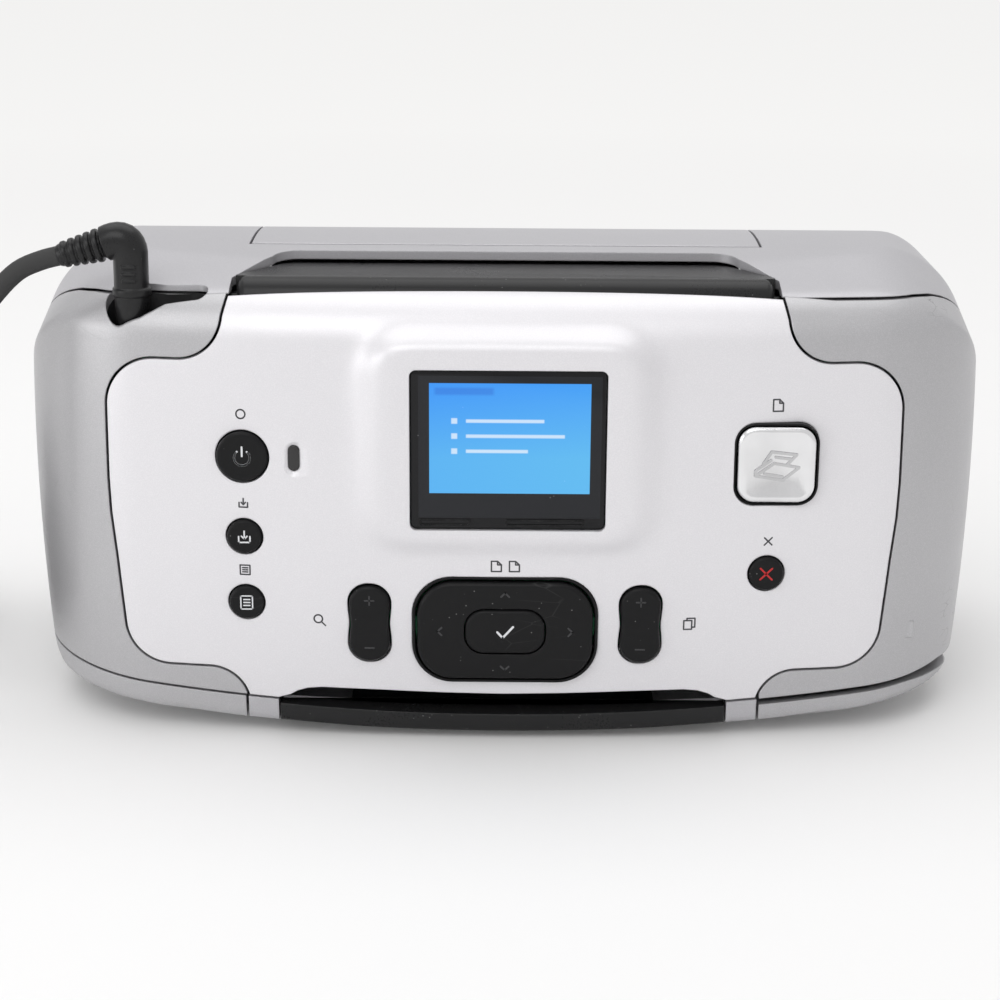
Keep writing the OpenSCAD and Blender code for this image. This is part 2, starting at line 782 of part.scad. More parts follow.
// Paper path and carriage
feed_y = 41;
path_z = 10.2;
feed_z = path_z + feed_r + 0.3;
exit_y = -30;
exit_z = path_z - exit_r - 0.1;
star_r = 3.1;
star_z = path_z + star_r + 0.2;
gear_r = 10.5;
pinion_r = 3.8;
pinion_y = 27.3;
pinion_z = 24;
// Pulleys that give both rollers the same surface speed
feed_pulley = 6.7;
exit_pulley = feed_pulley * exit_r / feed_r;
module platen() {
    color("Black") {
        difference() {
            block(-55, 55, -44, feed_y, path_z - 1.8, path_z);
            block(-54, 54, exit_y - 4, exit_y + 4, 6, 14);
            rod_x(-56, 56, exit_y, exit_z, 1.6);
            block(-48, 48, -9, 1, path_z - 0.8, 14);
        }
        along_x(-55, 55) polygon(concat(
            arc(feed_y, feed_z, feed_r + 0.5, -90, 30, 8),
            arc(feed_y, feed_z, feed_r + 2.2, 30, -90, 8)));
        for (s = [-1, 1]) block(s * 53.3 - 1.2, s * 53.3 + 1.2, -25, 30, 7.1, path_z - 1.7);
    }
}
module feed_roller() {
    color("DimGray") {
        rod_x(-88.4, 61, feed_y, feed_z, 2.5);
        for (x = [-40, 0, 40]) rod_x(x - 9, x + 9, feed_y, feed_z, feed_r - 0.2);
        rod_x(-88, -83, feed_y, feed_z, gear_r);
        rod_x(-65, -60.8, feed_y, feed_z, feed_pulley);
    }
}
module exit_roller() {
    color("DimGray") {
        rod_x(-65, 61, exit_y, exit_z, 1.2);
        for (x = [-40, -14, 14, 40]) rod_x(x - 6, x + 6, exit_y, exit_z, exit_r);
        rod_x(-65, -60.8, exit_y, exit_z, exit_pulley);
    }
}
module belt_2d(g) {
    polygon(concat(arc(feed_y, feed_z, feed_pulley + g, -84, 93, 10),
        arc(exit_y, exit_z, exit_pulley + g, 96, 276, 8)));
}
module exit_belt() {
    color("Black") along_x(-64, -61.6) difference() {
        belt_2d(1.1);
        belt_2d(0.3);
    }
}
module star_wheels() {
    color("Silver") {
        rod_x(-61, 61, exit_y, star_z, 0.8);
        for (x = [-46, -31, -7, 7, 31, 46]) rod_x(x - 0.4, x + 0.4, exit_y, star_z, star_r);
    }
}
module feed_pinion() {
    color("Wheat") {
        rod_x(-88, -83, pinion_y, pinion_z, pinion_r);
        rod_x(-92, -88, pinion_y, pinion_z, 1);
    }
}
module feed_motor() {
    color("Silver") difference() {
        union() {
            rod_x(-103, -90, pinion_y, pinion_z, 9);
            block(-90, -89, 15, 39, 13.5, 34.5);
            for (y = [15, 36]) block(-98, -89, y, y + 2, 9.4, 15);
        }
        rod_x(-95, -80, pinion_y, pinion_z, 1 + run);
    }
}

chassis_x = 59.6;
module chassis() {
    color("Silver") {
        for (s = [-1, 1]) difference() {
            union() {
                along_x(s * chassis_x - 0.6, s * chassis_x + 0.6) polygon([[-36, 7.6], [-36, 18],
                    [-26.5, 18], [-26.5, 11.2], [16, 11.2], [19.5, 24], [19.5, 55], [28, 55],
                    [28, 32], [49, 32], [49, 10], [28, 7.6], [-27, 7.6], [-27, 6.2],
                    [-33, 6.2], [-33, 7.6]]);
                block(s * 58.2 - 2, s * 58.2 + 2, 16, 28, 7.4, 8.4);
                block(s * 58.2 - 2, s * 58.2 + 2, -26, -15, 7.4, 8.4);
                block(s * chassis_x - 1.6, s * chassis_x + 1.6, 17, 20.5, 30, 54);
            }
            rod_x(-70, 70, feed_y, feed_z, 2.5 + run);
            rod_x(-70, 70, exit_y, exit_z, 1.2 + run);
            rod_x(-70, 70, exit_y, star_z, 0.8 + run);
        }
        // Guide beam behind the carriage, with the rod brackets
        block(-60, 96, 17, 18, 24, 56);
        for (x = [-85, 94]) difference() {
            block(x, x + 1.2, -4, 18.2, 12, 44);
            rod_x(-100, 100, 4, 34, rod_d / 2);
        }
        block(-85, -58, 17, 18, 24, 40);
        // Shelves for the pulleys
        for (x = [[-85, -58], [82, 95]]) difference() {
            block(x[0], x[1], 16, 32, 55, 56);
            for (c = pulley_x) translate([c, pulley_y, 50]) cylinder(h = 10, r = 1.2 + run);
        }
        block(94, 95.2, 17, 30, 40, 56);
        // Feet that stand on the skirts
        block(-85, -81.8, 2, 14, 8.9, 12.4);
        block(92, 95.2, 2, 14, 9.1, 12.4);
    }
}
module carriage_rod() {
    color("Silver") rod_x(-87, 97, 4, 34, rod_d / 2);
}
home_x = 73;
pulley_x = [-72, 88];
pulley_y = 24;
pulley_r = 4.2;
nozzle_z = path_z + 1.6;
module carriage() {
    color("DimGray") {
        difference() {
            union() {
                block(home_x - 14, home_x + 14, -24, -0.6, nozzle_z + 2, 52);
                block(home_x - 14, home_x + 14, -1, 10.5, 26, 44);
            }
            block(home_x - 11.4, home_x + 11.4, -22.2, -2.2, 9, 60);
            rod_x(0, 100, 4, 34, rod_d / 2 + run);
        }
        // Rear shoe and belt clamp
        block(home_x - 10, home_x + 10, 10, 16.7, 38, 44);
        block(home_x - 5, home_x + 5, 10, 13, 43, 62.5);
        block(home_x - 5, home_x + 5, 12, 18.5, 58.5, 62.5);
    }
}
module print_cartridge() {
    color("Black") {
        block(home_x - 11.2, home_x + 11.2, -22, -2.4, nozzle_z + 3, 50);
        block(home_x - 7, home_x + 7, -18, -7, nozzle_z, nozzle_z + 3.1);
    }
}
module drive_belt() {
    color("Black") translate([0, 0, 59]) linear_extrude(3) difference() {
        polygon(concat(arc(88, pulley_y, pulley_r + 1, -90, 90, 8),
            arc(-72, pulley_y, pulley_r + 1, 90, 270, 8)));
        polygon(concat(arc(88, pulley_y, pulley_r + 0.3, -90, 90, 8),
            arc(-72, pulley_y, pulley_r + 0.3, 90, 270, 8)));
    }
}
module pulley(x, z0) {
    translate([x, pulley_y, 58.6]) cylinder(h = 3.8, r = pulley_r);
    translate([x, pulley_y, z0]) cylinder(h = 62.4 - z0, r = 1.2);
}
module motor_pulley() {
    color("Wheat") difference() {
        pulley(-72, 50);
    }
}
module idler_pulley() {
    color("Wheat") pulley(88, 50);
}
module carriage_motor() {
    color("Silver") difference() {
        union() {
            translate([-72, pulley_y, 32]) cylinder(h = 23, r = 5.6);
            block(-77, -67, 18.6, 29.6, 40, 55);
        }
        translate([-72, pulley_y, 45]) cylinder(h = 20, r = 1.2 + run);
    }
}
module service_station() {
    color("DarkSlateGray") {
        difference() {
            block(62, 86, -24, 0, 8.95, nozzle_z - 0.6);
            block(64, 84, -20, -4, 9.8, 20);
        }
        block(66, 80, -18, -7, 9.7, nozzle_z - 0.4);
    }
}
module main_board() {
    color("DarkGreen") {
        block(-100.6, -99, -20, 30, 36, 80);
        for (y = [-12, 2]) translate([-99.2, y, 66]) rotate([0, 90, 0]) cylinder(h = 9, r = 4);
        block(-99.2, -97, -14, 10, 44, 58);
        for (z = [40, 76]) block(-107.5, -100.5, -17, -13, z - 2, z + 2);
    }
}
module usb_socket() {
    color("Silver") difference() {
        block(usb_x - 6, usb_x + 6, 43, half_d - 0.5, 18, 29);
        block(usb_x - 4, usb_x + 4, 46, 70, 20, 27);
    }
}

// Power entry, plug and lead
plug_x = -82.2;
plug_z = 113;
module dc_port() {
    color("Black") {
        intersection() {
            body_form(wall + 0.1);
            difference() {
                port_space(1.4, 88, 104);
                port_space(0, 90, 110);
            }
        }
        difference() {
            translate([plug_x, port_y, 89.5]) cylinder(h = 3, r = 3.6);
            translate([plug_x, port_y, 90]) cylinder(h = 5, r = 2.9);
        }
    }
}
module power_plug() {
    color("Black") {
        translate([plug_x, port_y, 93.2]) cylinder(h = plug_z - 93.2, r = neck_d / 2);
        translate([plug_x, port_y, 90.6]) cylinder(h = 3, r = 2.75);
        translate([plug_x, port_y, plug_z]) sphere(r = neck_d / 2 + 0.3);
        // Arm with the ribbed strain relief
        translate([plug_x, port_y, plug_z]) rotate([0, -arm_a - 90, 0]) {
            cylinder(h = 6, r = neck_d / 2);
            for (k = [0:4]) translate([0, 0, 6.6 + 1.9 * k]) cylinder(h = 1.2, r = 3.7 - 0.2 * k);
            cylinder(h = arm_l, r = 2.5);
        }
    }
}

// Swept tube: rings of n points along a path
function unit(v) = v / norm(v);
function heading(p, k) = unit(p[min(k + 1, len(p) - 1)] - p[max(k - 1, 0)]);
function ring(c, d, up, r, n) = let (u = unit(cross(up, d)), v = cross(d, u))
    [for (j = [0:n - 1]) c + r * (cos(360 * (j + 0.5) / n) * u + sin(360 * (j + 0.5) / n) * v)];
module tube(p, r, n, up) {
    m = len(p);
    polyhedron(
        points = [for (k = [0:m - 1]) each ring(p[k], heading(p, k), up, r, n)],
        faces = concat(
            [for (k = [0:m - 2], j = [0:n - 1]) let (i = (j + 1) % n)
                [k * n + j, k * n + i, (k + 1) * n + i]],
            [for (k = [0:m - 2], j = [0:n - 1]) let (i = (j + 1) % n)
                [k * n + j, (k + 1) * n + i, (k + 1) * n + j]],
            [for (j = [1:n - 2]) [0, j + 1, j]],
            [for (j = [1:n - 2]) [(m - 1) * n, (m - 1) * n + j, (m - 1) * n + j + 1]]));
}
// Smooth curve through the route's points
function spline(p, k, t) = let (
    a = p[max(k - 1, 0)], b = p[k], c = p[k + 1], d = p[min(k + 2, len(p) - 1)])
    0.5 * (2 * b + (c - a) * t + (2 * a - 5 * b + 4 * c - d) * t * t
    + (3 * b - a - 3 * c + d) * t * t * t);
function smooth(p, n) = concat(
    [for (k = [0:len(p) - 2], j = [0:n - 1]) spline(p, k, j / n)], [p[len(p) - 1]]);

cord_r = cord_d / 2;
arm_a = 15;
arm_l = 16;
arm_end = [plug_x - arm_l * cos(arm_a), port_y, plug_z - arm_l * sin(arm_a)];
coil_x = -172;
coil_y = 11.5;
coil_turns = 10;
coil_layers = 4;
coil_pitch = cord_d + 0.6;
coil_in = 19;
coil_out = coil_in + coil_pitch * coil_turns / coil_layers;
layer_turns = coil_turns / coil_layers;
coil_low = cord_r + 0.8;
coil_start = [coil_x, coil_y - coil_out, coil_low];
coil_top = coil_low + (coil_layers - 1) * coil_pitch;
coil_end = [coil_x, coil_y - coil_out, coil_top];
function ease(s) = let (c = min(max(s, 0), 1)) c * c * (3 - 2 * c);
function coil_reach(t) = let (m = t % (2 * layer_turns))
    coil_out - coil_pitch * (m <= layer_turns ? m : 2 * layer_turns - m);
function coil_level(t) = coil_low + coil_pitch
    * (ease((t - layer_turns) * 2 + 0.5) + ease((t - 2 * layer_turns) * 2 + 0.5)
    + ease((t - 3 * layer_turns) * 2 + 0.5));
function coil_point(t) = [coil_x + coil_reach(t) * cos(-90 - 360 * t),
    coil_y + coil_reach(t) * sin(-90 - 360 * t), coil_level(t)];
coil_path = concat(
    [coil_start + [cord_d, 0, 0]],
    [for (k = [0:coil_turns * 24]) coil_point(k / 24)],
    [coil_end - [cord_d, 0, 0]]);
route_down = concat(
    [arm_end, arm_end - cord_d * [cos(arm_a), 0, sin(arm_a)]],
    [[-107, -42, 105.4], [-112, -42.2, 100.6], [-117, -42.5, 94], [-121.5, -42.5, 85.5],
    [-125, -42.5, 75], [-127.5, -42, 63], [-129.5, -41.5, 51], [-132, -40.5, 38.5],
    [-136, -38, 26.5], [-142, -34, 16], [-150, -28, 8]],
    [coil_start + [cord_d * 2.4, 0, 0], coil_start + [cord_d, 0, 0]]);
adapter_y = 12;
adapter_in = [-235, adapter_y - 9, 13];
route_out = [coil_end - [cord_d, 0, 0], coil_end - [cord_d * 2.2, 0, 0],
    [-192, -19.8, 16.4], [-204, -19.6, 15.4], [-216, -17.4, 14.4], [-226, -12, 13.6],
    [-232.5, -5, 13.1], adapter_in - [0, cord_d, 0], adapter_in];
coil_gap = min([for (i = [0:3:len(coil_path) - 1], j = [i + 14:len(coil_path) - 1])
    norm(coil_path[i] - coil_path[j])]) - cord_d;
echo(coil_gap = coil_gap);
function path_length(p) = len(p) < 2 ? 0 : [for (k = 1, s = norm(p[1] - p[0]); k < len(p);
    k = k + 1, s = k < len(p) ? s + norm(p[k] - p[k - 1]) : s) s][len(p) - 2];
lead_length = path_length(smooth(route_down, 3)) + path_length(coil_path)
    + path_length(smooth(route_out, 3));
echo(lead_length = lead_length);

module power_cord() {
    color("Black") {
        tube(smooth(route_down, 3), cord_r, 8, [0, 1, 0]);
        tube(smooth(route_out, 3), cord_r, 8, [0, 0, 1]);
    }
}
module cord_coil() {
    color("Black") tube(coil_path, cord_r, 6, [0, 0, 1]);
}
module cord_tie() {
    color("DimGray") difference() {
        block(coil_x + coil_in - cord_r - 1.4, coil_x + coil_out + cord_r + 1.4, coil_y - 2,
            coil_y + 2, 0.05, coil_top + cord_r + 1.2);
        block(coil_x + coil_in - cord_r - 0.6, coil_x + coil_out + cord_r + 0.6, coil_y - 3,
            coil_y + 3, 0.65, coil_top + cord_r + 0.5);
    }
}
module power_adapter() {
    color("Black") difference() {
        union() {
            linear_extrude(26) polygon(round_box(adapter_in[0], adapter_y + 32, 40, 64, 5));
            rod_y(adapter_in[0], adapter_in[1], adapter_y + 1, adapter_in[2], 3.6);
        }
        block(adapter_in[0] - 7, adapter_in[0] + 7, adapter_y + 54, adapter_y + 70, 9, 17);
    }
}

module rubber_feet() {
    color("DimGray") for (x = [-44, 44], y = [-34, 40]) translate([x, y, 0])
        cylinder(h = 2.1, r = 5.8);
}
module base_screws() {
    color("Silver") for (x = [-73, 73], y = [-33, 38]) translate([x, y, base_z(73) - 1.8]) {
        cylinder(h = 2.4, r = 1);
        translate([0, 0, 2.6]) cylinder(h = 1.4, r = 2.4);
    }
}
module hinge_pins() {
    color("Silver") {
        translate([door_x, door_y, door_z0 - 0.4])
            cylinder(h = door_z1 - door_z0 + 0.8, r = door_pin_d / 2);
        for (s = [-1, 1]) rod_x(s * 57 - 5, s * 57 + 5, tray_y, tray_z, 1);
    }
}
module fold_pin() {
    color("Silver") rod_x(0.8 - tray_half, tray_half - 0.8, fold_y, fold_z, 1);
}

base();
base_skirt_left();
base_skirt_right();
left_shell();
cartridge_door();
top_cover();
rear_cover();
front_panel();
exit_frame();
screen_lens();
screen_module();
led_lens();
on_button();
save_button();
menu_button();
cancel_button();
print_ring();
print_button();
pad_well();
pad_gimbal();
select_pad();
ok_button();
zoom_rocker();
copies_rocker();
button_board();
handle_well();
carry_handle();
input_tray();
tray_extension();
width_guide();
tray_liner();
output_tray();
platen();
feed_roller();
exit_roller();
exit_belt();
star_wheels();
feed_pinion();
feed_motor();
chassis();
carriage_rod();
carriage();
print_cartridge();
drive_belt();
motor_pulley();
idler_pulley();
carriage_motor();
service_station();
main_board();
usb_socket();
dc_port();
power_plug();
rubber_feet();
base_screws();
hinge_pins();
fold_pin();
power_cord();
cord_coil();
cord_tie();
power_adapter();
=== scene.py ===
"""Looks of the compact photo printer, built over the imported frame.

Lengths in the classes below are millimetres, in the frame of the part: X to the right,
Y to the back, Z up. Everything is scaled to metres when its mesh is made.
"""

import json
import logging
import math
from dataclasses import dataclass
from enum import Enum
from typing import Callable, Iterable, Sequence

import bpy
import numpy as np
from mathutils import Matrix, Vector

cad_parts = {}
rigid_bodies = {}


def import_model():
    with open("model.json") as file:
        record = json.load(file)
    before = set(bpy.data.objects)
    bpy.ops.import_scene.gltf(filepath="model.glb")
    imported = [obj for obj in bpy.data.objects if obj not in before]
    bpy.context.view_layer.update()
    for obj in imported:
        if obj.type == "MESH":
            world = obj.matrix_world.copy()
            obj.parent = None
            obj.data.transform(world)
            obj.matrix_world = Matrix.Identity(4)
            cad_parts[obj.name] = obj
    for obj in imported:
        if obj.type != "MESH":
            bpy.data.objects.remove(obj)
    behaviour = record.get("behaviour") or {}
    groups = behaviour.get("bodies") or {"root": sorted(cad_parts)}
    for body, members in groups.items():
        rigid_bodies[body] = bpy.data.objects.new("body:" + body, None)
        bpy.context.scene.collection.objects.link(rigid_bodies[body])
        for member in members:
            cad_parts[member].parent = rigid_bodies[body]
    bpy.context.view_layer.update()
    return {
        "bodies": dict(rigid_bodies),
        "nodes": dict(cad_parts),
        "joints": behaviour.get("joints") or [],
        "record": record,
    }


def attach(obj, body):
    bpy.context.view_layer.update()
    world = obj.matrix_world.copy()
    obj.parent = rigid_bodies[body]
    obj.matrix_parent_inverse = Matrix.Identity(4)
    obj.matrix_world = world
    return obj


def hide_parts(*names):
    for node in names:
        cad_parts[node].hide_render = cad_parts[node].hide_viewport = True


logging.basicConfig(level=logging.INFO, format="%(message)s")
LOG = logging.getLogger("printer")

MM = 0.001
Point2 = tuple[float, float]
Point3 = tuple[float, float, float]


class Axis(Enum):
    """Direction that an outline is extruded along."""

    X = "x"
    Y = "y"
    Z = "z"


# Shape


def round_max(a: np.ndarray, b: np.ndarray, r: float) -> np.ndarray:
    """Intersection of two distance fields with a rounded edge.

    Args:
        a: first field.
        b: second field.
        r: size of the rounding.

    Returns:
        The joined field.
    """
    u = np.maximum(a + r, 0.0)
    v = np.maximum(b + r, 0.0)
    return np.minimum(-r, np.maximum(a, b)) + np.hypot(u, v)


def smooth_step(e0: float, e1: float, v: np.ndarray) -> np.ndarray:
    """Smooth ramp from 0 at e0 to 1 at e1."""
    t = np.clip((v - e0) / (e1 - e0), 0.0, 1.0)
    return t * t * (3 - 2 * t)


class Form:
    """Outer form of the body, as one distance field."""

    bow_r = 520.0
    face_r = 420.0
    face_mid = 48.0
    face_front = -56.0
    bow_y = face_front + bow_r
    pad_y = -57.45
    pad = (0.8, 70.7, 62.4, 47.6, 9.0)

    @classmethod
    def pad_weight(cls, x: np.ndarray, z: np.ndarray) -> np.ndarray:
        """How far a place on the front belongs to the raised screen housing."""
        cx, cz, w, h, r = cls.pad
        dx = np.abs(x - cx) - (w / 2 - r)
        dz = np.abs(z - cz) - (h / 2 - r)
        away = np.hypot(np.maximum(dx, 0), np.maximum(dz, 0)) + np.minimum(np.maximum(dx, dz), 0) - r
        return 1 - smooth_step(-2.6, 2.6, away)

    @classmethod
    def field(cls, p: np.ndarray) -> np.ndarray:
        """Distance field of the body.

        Args:
            p: points, one a row.

        Returns:
            Negative inside, in millimetres.
        """
        x, y, z = p[:, 0], p[:, 1], p[:, 2]
        ax = np.abs(x)
        rho = np.hypot(x, y - cls.bow_y)
        face = np.hypot(rho - (cls.bow_r - cls.face_r), z - cls.face_mid) - cls.face_r
        w = cls.pad_weight(x, z) * (y < -30)
        face = face * (1 - w) + (cls.pad_y - y) * w
        lean = math.radians(14)
        top = math.sin(lean) * (rho - (cls.bow_y + 40)) + math.cos(lean) * (z - 103)
        front = round_max(face, top, 7.7)
        side = ax - (110 - (z - 65) ** 2 / 1680)
        crown = np.hypot(y + 6, z + 43) - 150
        back_lean = math.cos(math.radians(26)) * y + math.sin(math.radians(26)) * z - 67.81
        back = y - 57.5
        rear = round_max(round_max(crown, back_lean, 8), back, 2.5)
        low = (1.7 + ax**2 / 1700) - z
        parts = [
            round_max(front, side, 28),
            round_max(side, z - 107.3, 26),
            round_max(side, back, 24),
            round_max(side, low, 7),
            round_max(rear, low, 2),
        ]
        return np.maximum.reduce(parts)

    @classmethod
    def front_y(cls, x: np.ndarray, z: np.ndarray) -> np.ndarray:
        """Place of the front skin over points of the front view."""
        lo, hi = np.full_like(x, -80.0), np.full_like(x, -20.0)
        for _ in range(26):
            mid = (lo + hi) / 2
            out = cls.field(np.stack([x, mid, z], 1)) > 0
            lo, hi = np.where(out, mid, lo), np.where(out, hi, mid)
        return (lo + hi) / 2


def arc(cx: float, cy: float, r: float, a0: float, a1: float, n: int) -> list[Point2]:
    """Points of an arc, ends included, angles in degrees."""
    return [
        (
            cx + r * math.cos(math.radians(a0 + (a1 - a0) * k / n)),
            cy + r * math.sin(math.radians(a0 + (a1 - a0) * k / n)),
        )
        for k in range(n + 1)
    ]


def round_box(cx: float, cy: float, w: float, h: float, r: float, n: int = 12) -> list[Point2]:
    """Outline of a rounded rectangle about a centre."""
    x, y = w / 2 - r, h / 2 - r
    return (
        arc(cx + x, cy + y, r, 0, 90, n)
        + arc(cx - x, cy + y, r, 90, 180, n)
        + arc(cx - x, cy - y, r, 180, 270, n)
        + arc(cx + x, cy - y, r, 270, 360, n)
    )


def mirrored(points: Sequence[Point2]) -> list[Point2]:
    """Outline half mirrored to the other side and reversed."""
    return [(-x, y) for x, y in reversed(points)]


def base_z(x: float) -> float:
    """Height of the seam over the base."""
    return 7.2 + x * x / 1700


def panel_outline(g: float) -> list[Point2]:
    """Front view outline of the panel, grown by g."""
    half = (
        [(57.6 + g, -8), (57.6 + g, 7.6)]
        + arc(66.4, 7.6, 8.8 - g, 180, 90, 20)
        + arc(75.5, 26.6, 10.2 + g, -90, -8, 20)
        + [(86.9 + g, 42), (87.9 + g, 52), (88.2 + g, 60)]
        + arc(77, 76.4, 11.2 + g, 4, 90, 20)
        + arc(72, 97.6, 10 - g, 270, 184, 20)
        + [(60.2 + g, 104), (59.6 + g, 112)]
    )
    return half + mirrored(half)


def top_seam(d: float) -> list[Point2]:
    """Side view region above the line under the top cover."""
    return [
        (-43, 130),
        (-43, 100.8 + d),
        (-36, 100.3 + d),
        (-30, 99.3 + d),
        (-25, 97.8 + d),
        (-20, 95.9 + d),
        (-15, 93.5 + d),
        (-10, 91.2 + d),
        (-4, 90.1 + d),
        (4, 90 + d),
        (80, 90 + d),
        (80, 130),
    ]


def side_region(back: float) -> list[Point2]:
    """Side view region of the side shells, before the top cover is taken out."""
    line = [(-5.0, 130.0), (-5.0, 95.0)]
    line += [(y, -43 + math.sqrt(138**2 - (y + 6) ** 2)) for y in (-4, 2, 8, 12)]
    line += [((55.81 - 0.4384 * z) / 0.8988, z) for z in (88, 70, 55) if (55.81 - 0.4384 * z) / 0.8988 < back]
    line += [(back, (55.81 - 0.8988 * back) / 0.4384), (back, -10.0)]
    return [(-80.0, -10.0), (-80.0, 130.0)] + line


def handle_outline(g: float) -> list[Point2]:
    """Plan outline of the handle opening, grown by g."""
    half = [(60.6 + g, -50), (60.6 + g, -36)] + arc(46.8, -26.4, 6 + g, 16, 90, 14)
    return half + mirrored(half)


def port_outline(g: float) -> list[Point2]:
    """Plan outline of the power port recess, grown by g."""
    taper = [(-74.5, -2.75 - g), (-77.5, -3.6 - g), (-80.0, -4.1 - g)]
    low = [(x, -41.8 + d) for x, d in taper]
    high = [(x, -41.8 - d) for x, d in taper]
    right = arc(-68.0, -41.8, 2.6 + g, -90, 90, 16)
    return right + high + arc(-83.8, -41.8, 4.2 + g, 90, 270, 16) + low[::-1]


def belt_outline(low: Callable[[float], float], high: Callable[[float], float], half: float) -> list[Point2]:
    """Front view outline between two curves across the width."""
    xs = [half * k / 24 for k in range(-24, 25)]
    return [(x, low(x)) for x in xs] + [(x, high(x)) for x in reversed(xs)]


# Meshing


def only(obj: bpy.types.Object) -> None:
    """Selects one object alone and makes it active."""
    bpy.ops.object.select_all(action="DESELECT")
    obj.select_set(True)
    bpy.context.view_layer.objects.active = obj


def from_points(
    name: str, verts: Iterable[Sequence[float]], faces: Iterable[Sequence[int]]
) -> bpy.types.Object:
    """Makes a mesh object from points in millimetres, faces turned outward."""
    mesh = bpy.data.meshes.new(name)
    mesh.from_pydata([Vector(v) * MM for v in verts], [], [list(f) for f in faces])
    obj = bpy.data.objects.new(name, mesh)
    bpy.context.collection.objects.link(obj)
    only(obj)
    bpy.ops.object.mode_set(mode="EDIT")
    bpy.ops.mesh.select_all(action="SELECT")
    bpy.ops.mesh.normals_make_consistent(inside=False)
    bpy.ops.object.mode_set(mode="OBJECT")
    return obj


def place(axis: Axis, u: float, v: float, w: float) -> Point3:
    """Point of an outline (u, v) at depth w along an axis."""
    if axis is Axis.X:
        return (w, u, v)
    if axis is Axis.Y:
        return (u, w, v)
    return (u, v, w)


def prism(name: str, outline: Sequence[Point2], axis: Axis, lo: float, hi: float) -> bpy.types.Object:
    """Closed solid of an outline between two depths.

    Args:
        name: object name.
        outline: points in order; Y and Z for Axis.X, X and Z for Axis.Y, X and Y for Axis.Z.
        axis: direction of extrusion.
        lo: first depth.
        hi: second depth.

    Returns:
        The solid.
    """
    clean: list[Point2] = []
    for p in outline:
        if not clean or math.dist(p, clean[-1]) > 1e-4:
            clean.append(p)
    if math.dist(clean[0], clean[-1]) < 1e-4:
        clean.pop()
    n = len(clean)
    obj = from_points(name, [place(axis, u, v, lo) for u, v in clean], [range(n)])
    bpy.ops.object.mode_set(mode="EDIT")
    bpy.ops.mesh.select_all(action="SELECT")
    shift = Vector(place(axis, 0, 0, hi - lo)) * MM
    bpy.ops.mesh.extrude_region_move(TRANSFORM_OT_translate={"value": shift})
    bpy.ops.mesh.select_all(action="SELECT")
    bpy.ops.mesh.normals_make_consistent(inside=False)
    bpy.ops.object.mode_set(mode="OBJECT")
    return obj


def box(name: str, x: Point2, y: Point2, z: Point2) -> bpy.types.Object:
    """Closed box between pairs of limits."""
    return prism(name, [(x[0], y[0]), (x[1], y[0]), (x[1], y[1]), (x[0], y[1])], Axis.Z, z[0], z[1])


def rod(
    name: str, axis: Axis, u: float, v: float, r: float, lo: float, hi: float, n: int = 48
) -> bpy.types.Object:
    """Closed cylinder along an axis."""
    return prism(name, arc(u, v, r, 0, 360 * (n - 1) / n, n - 1), axis, lo, hi)


def apply_modifiers(obj: bpy.types.Object) -> None:
    """Applies every modifier of an object in order."""
    only(obj)
    for name in [m.name for m in obj.modifiers]:
        bpy.ops.object.modifier_apply(modifier=name)


def combine(
    obj: bpy.types.Object, others: Iterable[bpy.types.Object], how: str = "DIFFERENCE", keep: bool = False
) -> bpy.types.Object:
    """Cuts, joins or intersects a solid with others.

    Args:
        obj: the solid that is changed.
        others: solids that act on it.
        how: name of the boolean operation.
        keep: whether the others stay.

    Returns:
        The changed solid.
    """
    for other in others:
        mod = obj.modifiers.new("cut", "BOOLEAN")
        mod.operation = how
        mod.solver = "MANIFOLD"
        mod.object = other
        apply_modifiers(obj)
        if not keep:
            mesh = other.data
            bpy.data.objects.remove(other)
            bpy.data.meshes.remove(mesh)
    return obj


def copy_of(obj: bpy.types.Object, name: str) -> bpy.types.Object:
    """Copy with its own mesh."""
    new = bpy.data.objects.new(name, obj.data.copy())
    new.data.name = name
    bpy.context.collection.objects.link(new)
    return new


def bevel(obj: bpy.types.Object, width: float, segments: int = 3, angle: float = 35) -> bpy.types.Object:
    """Rounds the sharp edges of a solid."""
    mod = obj.modifiers.new("round", "BEVEL")
    mod.width = width * MM
    mod.segments = segments
    mod.limit_method = "ANGLE"
    mod.angle_limit = math.radians(angle)
    mod.use_clamp_overlap = True
    mod.harden_normals = False
    apply_modifiers(obj)
    return obj


def smooth(obj: bpy.types.Object, angle: float = 32) -> bpy.types.Object:
    """Shades an object smoothly except over sharp edges."""
    only(obj)
    bpy.ops.object.shade_smooth_by_angle(angle=math.radians(angle))
    return obj


def joined(name: str, parts: Sequence[bpy.types.Object]) -> bpy.types.Object:
    """Joins objects into one, under a name."""
    bpy.ops.object.select_all(action="DESELECT")
    for part in parts:
        part.select_set(True)
    bpy.context.view_layer.objects.active = parts[0]
    if len(parts) > 1:
        bpy.ops.object.join()
    obj = bpy.context.view_layer.objects.active
    obj.name = name
    obj.data.name = name
    return obj


def circle(n: int) -> list[Point2]:
    """Cosines and sines of n steps round a turn."""
    return [(math.cos(math.tau * j / n), math.sin(math.tau * j / n)) for j in range(n)]


